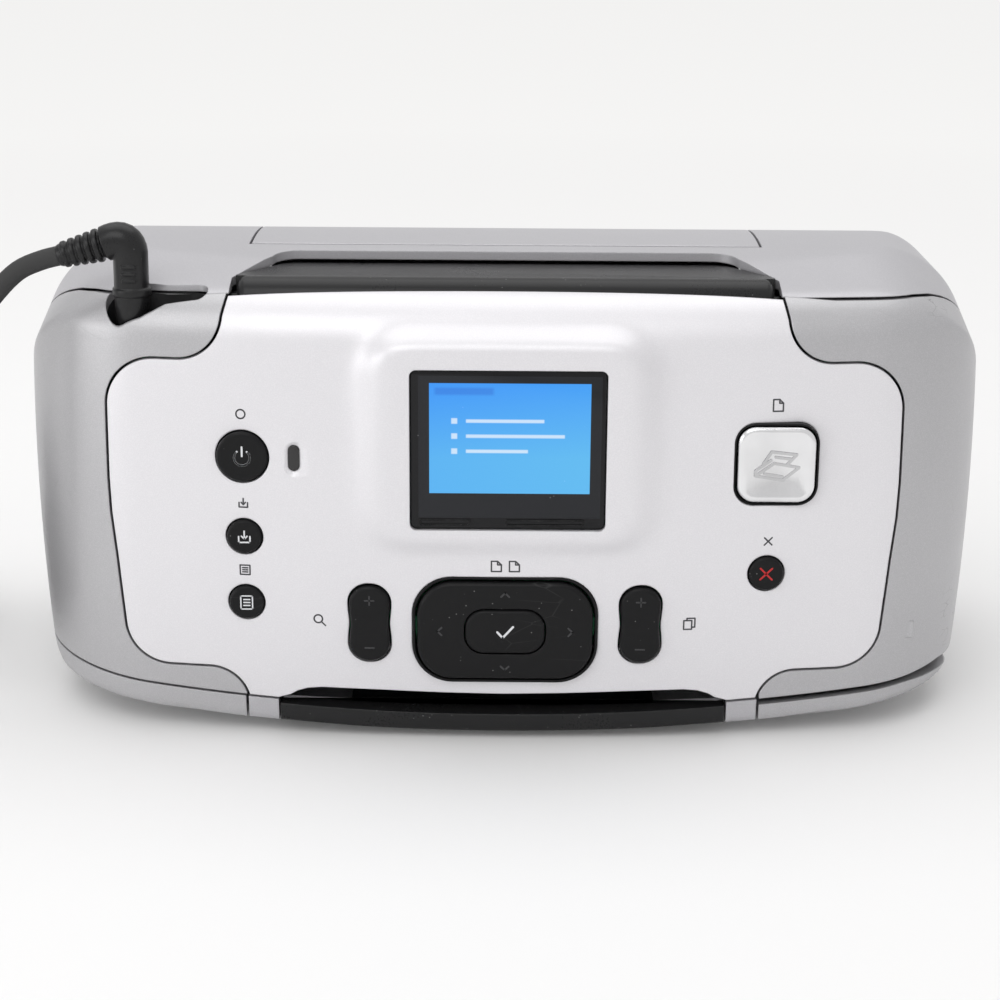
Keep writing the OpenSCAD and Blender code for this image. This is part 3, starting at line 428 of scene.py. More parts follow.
def sweep(
    name: str, points: Sequence[Point3], radii: Sequence[float], n: int = 24, up: Point3 = (0, 1, 0)
) -> bpy.types.Object:
    """Closed tube of changing radius along points.

    Args:
        name: object name.
        points: centre line.
        radii: one radius a point.
        n: sides.
        up: direction that isn't along the tube.

    Returns:
        The tube.
    """
    line = [Vector(p) for p in points]
    verts: list[Vector] = []
    side = None
    for k, p in enumerate(line):
        d = (line[min(k + 1, len(line) - 1)] - line[max(k - 1, 0)]).normalized()
        u = Vector(up).cross(d) if side is None else side - d * side.dot(d)
        u.normalize()
        side = u
        v = d.cross(u)
        verts += [p + radii[k] * (c * u + s * v) for c, s in circle(n)]
    faces = [
        (k * n + j, k * n + (j + 1) % n, (k + 1) * n + (j + 1) % n, (k + 1) * n + j)
        for k in range(len(line) - 1)
        for j in range(n)
    ]
    faces += [tuple(range(n - 1, -1, -1)), tuple((len(line) - 1) * n + j for j in range(n))]
    return smooth(from_points(name, verts, faces), 40)


def lathe_y(name: str, x: float, z: float, profile: Sequence[Point2], n: int = 64) -> bpy.types.Object:
    """Solid turned about a line along Y.

    Args:
        name: object name.
        x: place of the axis across.
        z: place of the axis in height.
        profile: (radius, y) from the front middle round to the back middle.
        n: steps round.

    Returns:
        The solid.
    """
    verts: list[Point3] = []
    faces: list[tuple[int, ...]] = []
    ring: list[list[int]] = []
    for r, y in profile:
        if r < 1e-6:
            ring.append([len(verts)])
            verts.append((x, y, z))
        else:
            ring.append(list(range(len(verts), len(verts) + n)))
            verts += [(x + r * c, y, z + r * s) for c, s in circle(n)]
    for a, b in zip(ring, ring[1:]):
        for j in range(n):
            i = (j + 1) % n
            if len(a) == 1:
                faces.append((a[0], b[j], b[i]))
            elif len(b) == 1:
                faces.append((a[j], b[0], a[i]))
            else:
                faces.append((a[j], b[j], b[i], a[i]))
    return smooth(from_points(name, verts, faces), 40)


# Shader nodes


EVEN = (1, 1, 1)


class Val:
    """Number on a node socket, with arithmetic that adds Math nodes."""

    def __init__(self, nodes: "Nodes", socket: bpy.types.NodeSocket) -> None:
        """Wraps a socket of a node tree."""
        self.nodes = nodes
        self.socket = socket

    def __add__(self, other: "Val | float") -> "Val":
        """Sum."""
        return self.nodes.math("ADD", self, other)

    def __sub__(self, other: "Val | float") -> "Val":
        """Difference."""
        return self.nodes.math("SUBTRACT", self, other)

    def __rsub__(self, other: float) -> "Val":
        """Difference from a number."""
        return self.nodes.math("SUBTRACT", other, self)

    def __mul__(self, other: "Val | float") -> "Val":
        """Product."""
        return self.nodes.math("MULTIPLY", self, other)

    def above(self, lo: float, hi: float) -> "Val":
        """Ramp from 0 at lo to 1 at hi."""
        return self.nodes.math("MULTIPLY_ADD", self, 1 / (hi - lo), -lo / (hi - lo), use_clamp=True)

    __radd__ = __add__
    __rmul__ = __mul__


class Nodes:
    """Node tree of one material under construction."""

    def __init__(self, name: str) -> None:
        """Starts an empty material with a Principled surface."""
        self.mat = bpy.data.materials.new(name)
        self.mat.use_nodes = True
        self.tree = self.mat.node_tree
        self.tree.nodes.clear()
        self.out = self.tree.nodes.new("ShaderNodeOutputMaterial")
        self.bsdf = self.add("ShaderNodeBsdfPrincipled")
        self.link(self.bsdf.outputs[0], self.out.inputs["Surface"])
        self.place = self.add("ShaderNodeTexCoord").outputs["Object"]

    def link(self, value: object, socket: bpy.types.NodeSocket) -> None:
        """Links or sets a socket."""
        if isinstance(value, Val):
            value = value.socket
        if isinstance(value, bpy.types.NodeSocket):
            self.tree.links.new(value, socket)
        else:
            socket.default_value = value

    def add(self, kind: str, settings: dict | None = None, inputs: dict | None = None) -> bpy.types.Node:
        """Adds a node.

        Args:
            kind: its type.
            settings: its properties, set first.
            inputs: values or links of its sockets, by name or number.

        Returns:
            The node.
        """
        node = self.tree.nodes.new(kind)
        for key, value in (settings or {}).items():
            setattr(node, key, value)
        for key, value in (inputs or {}).items():
            self.link(value, node.inputs[key])
        return node

    def math(self, how: str, *values: "Val | float", use_clamp: bool = False) -> Val:
        """Adds a Math node on up to three values."""
        settings = {"operation": how, "use_clamp": use_clamp}
        return Val(self, self.add("ShaderNodeMath", settings, dict(enumerate(values))).outputs[0])

    def mapped(self, scale: Point3, turn: Point3 = (0, 0, 0)) -> bpy.types.NodeSocket:
        """Object coordinates stretched and turned by a Mapping node."""
        inputs = {"Vector": self.place, "Rotation": turn, "Scale": scale}
        return self.add("ShaderNodeMapping", None, inputs).outputs[0]

    def noise(self, size: float, detail: float = 2.0, stretch: Point3 = EVEN) -> Val:
        """Noise with features of a size in millimetres."""
        where = self.mapped(stretch) if stretch != EVEN else self.place
        inputs = {"Vector": where, "Scale": 1 / (size * MM), "Detail": detail}
        return Val(self, self.add("ShaderNodeTexNoise", None, inputs).outputs[0])

    def cells(
        self, size: float, feature: str = "F1", stretch: Point3 = EVEN, turn: Point3 = (0, 0, 0)
    ) -> Val:
        """Voronoi distance with cells of a size in millimetres."""
        inputs = {"Vector": self.mapped(stretch, turn), "Scale": 1 / (size * MM)}
        node = self.add("ShaderNodeTexVoronoi", {"feature": feature}, inputs)
        return Val(self, node.outputs["Distance"])

    def near(self, at: Point3, r: float) -> Val:
        """Soft ball of radius r about a place, in millimetres."""
        inputs = {0: self.place, 1: [c * MM for c in at]}
        far = Val(self, self.add("ShaderNodeVectorMath", {"operation": "DISTANCE"}, inputs).outputs["Value"])
        return 1 - far.above(0.35 * r * MM, r * MM)

    def mix(self, fac: "Val | float", a: object, b: object) -> bpy.types.NodeSocket:
        """Mixes two colours."""
        return self.add("ShaderNodeMix", {"data_type": "RGBA"}, {0: fac, 6: a, 7: b}).outputs[2]

    def coord(self, axis: Axis) -> Val:
        """One object coordinate in millimetres."""
        node = self.add("ShaderNodeSeparateXYZ", None, {0: self.place})
        return Val(self, node.outputs["XYZ".index(axis.name)]) * 1000.0

    def slab(self, axis: Axis, lo: float, hi: float, edge: float = 0.05) -> Val:
        """Mask between two places along an axis, in millimetres."""
        c = self.coord(axis)
        return c.above(lo - edge, lo + edge) * (1 - c.above(hi - edge, hi + edge))

    def soft_edges(self, r: float) -> bpy.types.NodeSocket:
        """Normal that rounds sharp edges by a radius in millimetres."""
        return self.add("ShaderNodeBevel", {"samples": 4}, {"Radius": r * MM}).outputs[0]

    def relief(self, height: Val, depth: float, soft: bpy.types.NodeSocket) -> bpy.types.NodeSocket:
        """Bump of a height field, depth in millimetres, over a softened normal."""
        inputs = {"Height": height, "Strength": 1.0, "Distance": depth * MM, "Normal": soft}
        return self.add("ShaderNodeBump", None, inputs).outputs[0]


def rgba(c: Sequence[float], gain: float = 1.0, more: float = 0.0) -> list[float]:
    """Colour times a gain and raised by an amount, with full alpha."""
    return [min(1.0, v * gain + more) for v in c] + [1.0]


DUST = [0.62, 0.61, 0.6, 1.0]
DARK_LIFT = 0.163
PALE_LIFT = 0.465


@dataclass(frozen=True)
class Moulding:
    """Moulded, painted or printed surface with grain, smudges, specks and rubbed edges."""

    name: str
    color: Point3
    rough: float = 0.45
    metallic: float = 0.0
    coat: float = 0.0
    grain: float = 0.02
    grain_size: float = 0.5
    mottle: float = 0.05
    flake: float = 0.0
    scratch: float = 0.2
    dust: float = 0.0
    rub: float = 0.12
    edge: float = 0.25
    spec: float = 0.5
    scuffs: tuple[tuple[Point3, float], ...] = ()

    def make(self) -> bpy.types.Material:
        """Builds the material."""
        n = Nodes(self.name)
        cloudy = n.noise(38, 3)
        fine = n.noise(self.grain_size, 2)
        tone = cloudy * (2 * self.mottle) + (1 - self.mottle)
        color = n.mix(tone, rgba(self.color, 0.72), rgba(self.color))
        if self.flake > 0:
            flake = n.cells(0.22).above(0.25, 0.75)
            color = n.mix(flake * self.flake, color, rgba(self.color, 1.35, 0.04))
        lines = n.cells(17, "DISTANCE_TO_EDGE", (1, 1, 3.4), (0.3, 0.9, 0.5)).above(0.012, 0.0)
        gate = n.noise(24, 1).above(0.6, 0.66)
        marks = lines * gate * self.scratch
        for at, r in self.scuffs:
            short = n.cells(5.5, "DISTANCE_TO_EDGE", (1, 1, 3), (0.2, 0.6, 0.9)).above(0.03, 0.0)
            marks = marks + short * n.near(at, r) * n.noise(4, 1).above(0.46, 0.56) * 0.8
        marks = n.math("MINIMUM", marks, 1.0)
        lift = DARK_LIFT if sum(self.color) < 1 else PALE_LIFT
        color = n.mix(marks, color, rgba(self.color, 0.35, 0.0 if self.scuffs else lift))
        if self.dust > 0:
            specks = n.cells(1.9).above(0.09, 0.03) * n.noise(9, 1).above(0.5, 0.6)
            color = n.mix(specks * self.dust, color, DUST)
        soft = n.soft_edges(max(self.edge, 0.15) * 1.25)
        flat = n.add("ShaderNodeNewGeometry").outputs["Normal"]
        dot = n.add("ShaderNodeVectorMath", {"operation": "DOT_PRODUCT"}, {0: soft, 1: flat})
        same = Val(n, dot.outputs["Value"])
        worn = (1 - same).above(0.02, 0.2) * n.noise(2.4, 3).above(0.35, 0.7) * self.rub
        color = n.mix(worn, color, rgba(self.color, 1.2, 0.12))
        rough = self.rough + (n.noise(15, 4) - 0.5) * 0.16 + (fine - 0.5) * 0.1 + marks * 0.15
        n.link(color, n.bsdf.inputs["Base Color"])
        n.link(n.math("MINIMUM", n.math("MAXIMUM", rough, 0.04), 1.0), n.bsdf.inputs["Roughness"])
        n.link(n.relief(fine - marks * 0.6, self.grain, soft), n.bsdf.inputs["Normal"])
        n.bsdf.inputs["Metallic"].default_value = self.metallic
        n.bsdf.inputs["Coat Weight"].default_value = self.coat
        n.bsdf.inputs["Coat Roughness"].default_value = 0.12
        n.bsdf.inputs["Specular IOR Level"].default_value = self.spec
        return n.mat


@dataclass(frozen=True)
class Drawn:
    """Drawn or stamped metal with fine lines along one direction."""

    name: str
    color: Point3
    rough: float = 0.3
    stretch: Point3 = (0.04, 1, 1)
    edge: float = 0.3

    def make(self) -> bpy.types.Material:
        """Builds the material."""
        n = Nodes(self.name)
        lines = n.noise(0.35, 3, self.stretch)
        stain = n.noise(14, 4)
        color = n.mix(stain.above(0.3, 0.75), rgba(self.color, 0.82), rgba(self.color))
        rough = self.rough + (lines - 0.5) * 0.2 + (stain - 0.5) * 0.14
        n.link(color, n.bsdf.inputs["Base Color"])
        n.link(n.math("MAXIMUM", rough, 0.05), n.bsdf.inputs["Roughness"])
        n.link(n.relief(lines, 0.006, n.soft_edges(self.edge)), n.bsdf.inputs["Normal"])
        n.bsdf.inputs["Metallic"].default_value = 1.0
        return n.mat


@dataclass(frozen=True)
class LitWindow:
    """Dark window laminated over a lit display with a plain generic menu page."""

    name: str
    x: Point2 = (-16.4, 18.7)
    z: Point2 = (59.6, 84.4)

    def make(self) -> bpy.types.Material:
        """Builds the material."""
        n = Nodes(self.name)
        lit = n.slab(Axis.X, *self.x) * n.slab(Axis.Z, *self.z)
        up = n.coord(Axis.Z).above(self.z[0] + 8, self.z[1] + 2)
        across = n.coord(Axis.X).above(self.x[1], self.x[0] - 4)
        blue = n.mix(up * 0.7 + across * 0.2, [0.105, 0.5, 0.9, 1], [0.01, 0.26, 0.98, 1])
        band = n.slab(Axis.X, self.x[0] + 1.2, self.x[0] + 14, 0.4)
        band = band * n.slab(Axis.Z, self.z[1] - 2.6, self.z[1] - 1, 0.3)
        blue = n.mix(band * 0.4, blue, [0.005, 0.1, 0.6, 1])
        page: Val | float = 0.0
        for low, width in ((75.6, 17.0), (72.2, 21.5), (68.8, 13.5)):
            dashes = n.slab(Axis.X, -8.4, -8.4 + width, 0.12) * n.slab(Axis.Z, low, low + 0.75, 0.12)
            dot = n.slab(Axis.X, -11.6, -10.3, 0.12) * n.slab(Axis.Z, low - 0.25, low + 1.0, 0.12)
            page = dashes + dot + page
        blue = n.mix(n.math("MINIMUM", page, 1.0) * 0.8, blue, [0.75, 0.88, 1.0, 1])
        dots = n.math("SINE", n.coord(Axis.X) * 24.0) * n.math("SINE", n.coord(Axis.Z) * 24.0)
        blue = n.mix(dots.above(0.2, 1.0) * 0.06, blue, [0.0, 0.05, 0.2, 1])
        frame = n.slab(Axis.X, self.x[0] - 2.4, self.x[1] + 2.4)
        frame = frame * n.slab(Axis.Z, self.z[0] - 5.6, self.z[1] + 1.6)
        dark = n.mix(frame, [0.004, 0.004, 0.005, 1], [0.013, 0.014, 0.017, 1])
        smudge = n.noise(11, 4)
        specks = n.cells(2.6).above(0.06, 0.02) * n.noise(8, 1).above(0.52, 0.6)
        n.link(n.mix(specks * 0.5, dark, [0.3, 0.3, 0.31, 1]), n.bsdf.inputs["Base Color"])
        n.link(n.mix(lit, [0, 0, 0, 1], blue), n.bsdf.inputs["Emission Color"])
        n.bsdf.inputs["Emission Strength"].default_value = 0.95
        n.link(n.math("MAXIMUM", smudge * 0.16 + specks * 0.3, 0.03), n.bsdf.inputs["Roughness"])
        n.link(n.relief(n.noise(6, 1), 0.004, n.soft_edges(0.2)), n.bsdf.inputs["Normal"])
        n.bsdf.inputs["Specular IOR Level"].default_value = 0.28
        return n.mat


@dataclass(frozen=True)
class Board:
    """Circuit board with tracks, pads and a solder mask."""

    name: str
    color: Point3

    def make(self) -> bpy.types.Material:
        """Builds the material."""
        n = Nodes(self.name)
        tracks = n.cells(3.2, "DISTANCE_TO_EDGE").above(0.09, 0.05)
        pads = n.cells(2.1).above(0.2, 0.16)
        color = n.mix(tracks * 0.6, rgba(self.color), rgba(self.color, 1.9))
        color = n.mix(pads * n.noise(6, 1).above(0.5, 0.52), color, [0.55, 0.45, 0.2, 1])
        n.link(color, n.bsdf.inputs["Base Color"])
        n.link(0.34 + n.noise(4, 3) * 0.2, n.bsdf.inputs["Roughness"])
        n.link(n.relief(tracks + pads, 0.04, n.soft_edges(0.15)), n.bsdf.inputs["Normal"])
        return n.mat


class Finish(Enum):
    """Finishes of the printer, by the record's material slot or the piece."""

    PEARL = Moulding(
        "pearl_white", (0.71, 0.7, 0.722), 0.42, metallic=0.3, coat=0.06, grain=0.012, grain_size=0.3,
        mottle=0.05, flake=0.16, scratch=0.05, rub=0.1, edge=0.35,
    )
    SATIN = Moulding(
        "satin_silver", (0.43, 0.427, 0.438), 0.4, metallic=0.5, coat=0.08, grain=0.02, grain_size=0.34,
        mottle=0.08, flake=0.3, scratch=0.12, rub=0.25, edge=0.35,
        scuffs=(((108, -14, 96), 17.0), ((107, -30, 24), 11.0), ((97, -34, 101), 9.0)),
    )
    LIGHT = Moulding(
        "light_silver", (0.455, 0.45, 0.468), 0.42, metallic=0.45, coat=0.05, grain=0.02, grain_size=0.34,
        mottle=0.06, flake=0.22, scratch=0.1, rub=0.2, edge=0.3,
    )
    GLOSS = Moulding(
        "gloss_black", (0.0085, 0.0085, 0.009), 0.36, spec=0.16, grain=0.008, grain_size=0.6, mottle=0.1,
        scratch=0.12, dust=0.3, rub=0.3, edge=0.3,
    )
    TEXTURED = Moulding(
        "textured_black", (0.022, 0.022, 0.023), 0.5, grain=0.05, grain_size=0.28, mottle=0.12,
        scratch=0.1, dust=0.25, rub=0.4, edge=0.35,
    )
    SLATE = Moulding(
        "slate_black", (0.012, 0.012, 0.0125), 0.3, spec=0.3, grain=0.015, grain_size=0.5, mottle=0.1,
        scratch=0.25, dust=0.45, rub=0.35, edge=0.35,
    )
    RUBBER = Moulding(
        "rubber", (0.02, 0.02, 0.02), 0.78, grain=0.06, grain_size=0.6, mottle=0.2, scratch=0.0, dust=0.3,
        rub=0.3, edge=0.3,
    )
    NYLON = Moulding(
        "natural_nylon", (0.78, 0.73, 0.6), 0.4, grain=0.02, grain_size=0.8, mottle=0.06, rub=0.1, edge=0.15
    )
    CORD = Moulding(
        "cord_black", (0.008, 0.008, 0.0085), 0.42, spec=0.22, grain=0.03, grain_size=0.5, mottle=0.15,
        scratch=0.1, dust=0.25, rub=0.2, edge=0.2,
    )
    INK = Moulding(
        "printed_gray", (0.05, 0.05, 0.055), 0.5, grain=0.004, grain_size=0.3, mottle=0.1, scratch=0.0,
        rub=0.0, edge=0.1,
    )
    PALE_INK = Moulding(
        "printed_white", (0.72, 0.73, 0.75), 0.5, grain=0.004, grain_size=0.3, mottle=0.06, scratch=0.0,
        rub=0.0, edge=0.1,
    )
    FAINT_INK = Moulding(
        "moulded_mark", (0.03, 0.03, 0.032), 0.42, grain=0.01, grain_size=0.3, mottle=0.1, scratch=0.0,
        rub=0.3, edge=0.15,
    )
    RED_INK = Moulding(
        "printed_red", (0.5, 0.012, 0.014), 0.45, grain=0.004, grain_size=0.3, mottle=0.08, scratch=0.0,
        rub=0.0, edge=0.1,
    )
    LAMP = Moulding(
        "smoked_lens", (0.016, 0.015, 0.015), 0.2, coat=0.1, grain=0.01, grain_size=1.2, mottle=0.15,
        rub=0.3, edge=0.3,
    )
    CHROME = Drawn("satin_chrome", (0.86, 0.86, 0.87), 0.16, (1, 1, 0.25), 0.5)
    EMBOSS = Drawn("chromed_emboss", (0.62, 0.62, 0.63), 0.24, (1, 1, 0.25), 0.08)
    STEEL = Drawn("bare_steel", (0.6, 0.6, 0.61), 0.32)
    WINDOW = LitWindow("screen_window")
    GREEN = Board("board_green", (0.004, 0.028, 0.012))

    @property
    def material(self) -> bpy.types.Material:
        """The material, built once."""
        return bpy.data.materials.get(self.value.name) or self.value.make()


SLOTS = {
    "pearl_white_plastic": Finish.PEARL,
    "satin_gray_plastic": Finish.SATIN,
    "light_gray_plastic": Finish.LIGHT,
    "black_plastic": Finish.GLOSS,
    "dark_plastic": Finish.TEXTURED,
    "screen_glass": Finish.WINDOW,
    "display": Finish.WINDOW,
    "chrome": Finish.CHROME,
    "bare_steel": Finish.STEEL,
    "rubber": Finish.RUBBER,
    "board_green": Finish.GREEN,
    "natural_nylon": Finish.NYLON,
    "cord_black": Finish.CORD,
}


def finish_piece(
    obj: bpy.types.Object,
    finish: Finish,
    body: str = "frame",
    nodes: Sequence[str] = (),
) -> bpy.types.Object:
    """Dresses a piece and ties it to the frame.

    Args:
        obj: the finished piece.
        finish: its finish.
        body: the body it rides on.
        nodes: CAD nodes that it stands for.

    Returns:
        The piece.
    """
    obj.data.materials.clear()
    obj.data.materials.append(finish.material)
    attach(obj, body)
    if nodes:
        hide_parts(*nodes)
    LOG.info("piece %s on %s, %d faces", obj.name, body, len(getattr(obj.data, "polygons", ())))
    return obj


# Body and shells


SEAM = 0.6


@dataclass
class Body:
    """Smooth skin of the whole body and the hull that its shells are cut from."""

    cuts: int = 120
    inner_cuts: int = 44
    wall: float = 2.0
    size: Point3 = (220.0, 115.0, 105.3)
    middle: float = 54.4
    core: Point3 = (70.0, 17.5, 12.5)
    core_z: float = 54.5

    def skin(self, name: str, level: float, cuts: int) -> bpy.types.Object:
        """Subdivides a box and shoots its points out to the skin.

        Args:
            name: object name.
            level: depth under the outer skin.
            cuts: cuts along every edge.

        Returns:
            The closed skin.
        """
        bpy.ops.object.select_all(action="DESELECT")
        bpy.ops.mesh.primitive_cube_add(size=MM, location=(0, 0, 0))
        obj = bpy.context.view_layer.objects.active
        obj.name = name
        bpy.ops.object.mode_set(mode="EDIT")
        bpy.ops.mesh.select_all(action="SELECT")
        bpy.ops.transform.resize(value=self.size, center_override=(0, 0, 0))
        bpy.ops.mesh.subdivide(number_cuts=cuts)
        bpy.ops.object.mode_set(mode="OBJECT")
        count = len(obj.data.vertices)
        flat = np.empty(count * 3)
        obj.data.vertices.foreach_get("co", flat)
        p = flat.reshape(-1, 3) / MM + np.array([0, 0, self.middle])
        core = np.array(self.core)
        centre = np.array([0, 0, self.core_z])
        start = np.clip(p, centre - core, centre + core)
        way = p - start
        way /= np.linalg.norm(way, axis=1)[:, None]
        lo, hi = np.zeros(count), np.full(count, 90.0)
        for _ in range(30):
            mid = (lo + hi) / 2
            out = Form.field(start + way * mid[:, None]) + level > 0
            lo, hi = np.where(out, lo, mid), np.where(out, mid, hi)
        p = start + way * lo[:, None]
        obj.data.vertices.foreach_set("co", (p * MM).ravel())
        mod = obj.modifiers.new("even", "SMOOTH")
        mod.factor = 0.5
        mod.iterations = 5
        apply_modifiers(obj)
        return obj

    def build(self) -> tuple[bpy.types.Object, bpy.types.Object]:
        """Returns the full form and the hull with its wall."""
        full = self.skin("full_form", 0.0, self.cuts)
        inner = self.skin("inner_form", self.wall, self.inner_cuts)
        hull = copy_of(full, "hull")
        combine(hull, [inner])
        return full, hull


def cut_piece(
    name: str,
    source: bpy.types.Object,
    keep: Sequence[bpy.types.Object] = (),
    drop: Sequence[bpy.types.Object] = (),
    angle: float = 32,
) -> bpy.types.Object:
    """Piece of a hull inside some regions and outside others."""
    piece = copy_of(source, name)
    combine(piece, keep, "INTERSECT")
    combine(piece, drop, "DIFFERENCE")
    return smooth(piece, angle)


def merge(obj: bpy.types.Object, others: Sequence[bpy.types.Object], angle: float = 32) -> bpy.types.Object:
    """Joins solids into one closed solid."""
    return smooth(combine(obj, others, "UNION"), angle)


DOOR_AXIS = (106.4, 38.7)
FOLD_AT = (19.5, 100.6)
TRAY_AT = (54, 36)
THROUGH = (-90, -30)


@dataclass
class Shells:
    """Outer shells of the body, cut from one hull so that they meet in even seams."""

    full: bpy.types.Object
    hull: bpy.types.Object
    back: float = 36.0
    tray_half: float = 58.6
    bar_half: float = 50.6

    def port(self) -> bpy.types.Object:
        """Cutter of the power port recess."""
        return prism("cut_port", port_outline(0), Axis.Z, 80, 120)

    def handle_cut(self) -> bpy.types.Object:
        """Cutter of the handle opening."""
        return prism("cut_handle", handle_outline(0.2), Axis.Z, 80, 120)

    def seam_z(self, x: float) -> float:
        """Height of the base's upper edge, lower under the door at the right."""
        drop = np.interp(x, (58.4, 58.5, 81, 93, 101, 107), (0, 1.4, 1.4, 1.7, 2.9, 4.2))
        return base_z(min(abs(x), 116)) - float(drop)

    def low(self, gap: float, end: float) -> bpy.types.Object:
        """Cutter of all that is under the base seam, gap above it, and end more at the right side."""
        xs = [-120 + 2 * k for k in range(90)] + [58.4, 58.5] + [60 + 2 * k for k in range(31)]
        xs = sorted(set(xs))
        line = [(x, self.seam_z(x) + gap + end * float(np.interp(x, (58.5, 93, 102), (0, 0, 1)))) for x in xs]
        return prism("cut_low", line + [(120, -20), (-120, -20)], Axis.Y, -90, 90)

    def tray_cut(self, y0: float, z0: float) -> bpy.types.Object:
        """Cutter of the opening of the input tray."""
        return box("cut_tray", (-self.tray_half - 0.6, self.tray_half + 0.6), (y0, 90), (z0, 130))

    def side(self, name: str, x: Point2, low: bpy.types.Object) -> bpy.types.Object:
        """One side shell between two places across the width."""
        keep = [prism("keep_side", side_region(self.back), Axis.X, x[0], x[1])]
        drop = [
            prism("cut_top", top_seam(-SEAM), Axis.X, -150, 150),
            prism("cut_panel", panel_outline(SEAM / 2), Axis.Y, *THROUGH),
            low,
        ]
        return cut_piece(name, self.hull, keep, drop)

    def left_shell(self) -> None:
        """Fixed shell at the left, open under the power plug."""
        piece = self.side("side_shell_left", (-120, 0), self.low(SEAM, 0))
        piece = smooth(combine(piece, [self.port()]))
        finish_piece(piece, Finish.SATIN, "frame", ["left_shell"])

    def door(self) -> None:
        """Cartridge door at the right with its rolled rear edge."""
        piece = self.side("cartridge_door_shell", (0, 120), self.low(1.6, 1.5))
        combine(piece, [rod("cut_knuckle", Axis.Z, *DOOR_AXIS, 4.0, 28, 44)])
        roll = rod("roll", Axis.Z, *DOOR_AXIS, 3.6, 17.2, 89.3, 64)
        web = box("web", (106.4, 120), (35.0, 38.7), (17.2, 89.3))
        low_web = box("low_web", (106.4, 120), (30.6, 38.7), (50, 67.4))
        combine(roll, [web, low_web], "UNION")
        combine(roll, [self.full], "INTERSECT", keep=True)
        combine(roll, [rod("cut_mid", Axis.Z, *DOOR_AXIS, 7.2, 28, 44)])
        merge(piece, [roll])
        catch = bevel(box("catch", (92, 94), (-44.5, -41), (22, 26)), 0.3)
        piece = joined("cartridge_door_shell", [piece, catch])
        finish_piece(piece, Finish.SATIN, "cartridge_door", ["cartridge_door"])

    def top(self) -> None:
        """Top cover round the handle opening."""
        keep = [prism("keep_top", top_seam(0), Axis.X, -120, 120)]
        drop = [
            self.handle_cut(),
            self.tray_cut(-14.9, 60),
            self.port(),
            prism("cut_panel", panel_outline(SEAM), Axis.Y, -90, -43),
        ]
        piece = cut_piece("top_cover_shell", self.hull, keep, drop)
        finish_piece(piece, Finish.LIGHT, "frame", ["top_cover"])

    def rear(self) -> None:
        """Rear cover with the door knuckle and the lugs of the input tray."""
        region = prism("cut_front", side_region(self.back + SEAM), Axis.X, -150, 150)
        drop = [
            region,
            prism("cut_top", top_seam(-SEAM), Axis.X, -151, 151),
            self.low(SEAM, 0),
            self.tray_cut(0, 32.1),
            rod("cut_roll", Axis.Z, *DOOR_AXIS, 4.4, -1, 89.9),
            box("cut_web", (102, 121), (35, 38.7), (-1, 89.9)),
            box("cut_wing", (102, 121), (30, 38.7), (-1, 68)),
            box("cut_usb", (69.7, 82.3), (40, 90), (17.7, 29.3)),
        ]
        piece = cut_piece("rear_cover_shell", self.hull, (), drop)
        knuckle = rod("knuckle", Axis.Z, *DOOR_AXIS, 3.6, 28.4, 43.6, 64)
        combine(knuckle, [box("knuckle_web", (103.4, 107.8), (38.7, 46.7), (28.4, 43.6))], "UNION")
        combine(knuckle, [self.full], "INTERSECT", keep=True)
        merge(piece, [knuckle])
        lugs = [bevel(box("lug", (x - 1.2, x + 1.2), (51, 56.5), (30, 39)), 0.4) for x in (-60.8, 60.8)]
        piece = joined("rear_cover_shell", [piece] + lugs)
        finish_piece(piece, Finish.SATIN, "frame", ["rear_cover"])

    def base(self) -> None:
        """Floor with its front lip pieces and the two moulded skirts."""
        bar = box("cut_bar", (-self.bar_half - 0.4, self.bar_half + 0.4), (-90, -40), (-5, 30))
        above = [(x, self.seam_z(x)) for x in [-120 + 5 * k for k in range(36)] + [58.4, 58.5] +
                 [60 + 2 * k for k in range(31)]]
        over = prism("cut_over", above + [(120, 140), (-120, 140)], Axis.Y, -90, 90)
        middle = box("keep_mid", (-57.9, 57.9), (-80, 80), (-5, 30))
        piece = cut_piece("base_floor", self.hull, [middle], [copy_of(over, "over_1"), bar])
        finish_piece(piece, Finish.LIGHT, "frame", ["base"])
        for name, x in (("base_skirt_left", (-120, -58.5)), ("base_skirt_right", (58.5, 120))):
            keep = box("keep_skirt", x, (-80, 80), (-5, 40))
            skirt = cut_piece(name + "_shell", self.hull, [keep], [copy_of(over, "over_2")])
            finish_piece(skirt, Finish.SATIN, "frame", [name])
        bpy.data.objects.remove(over)

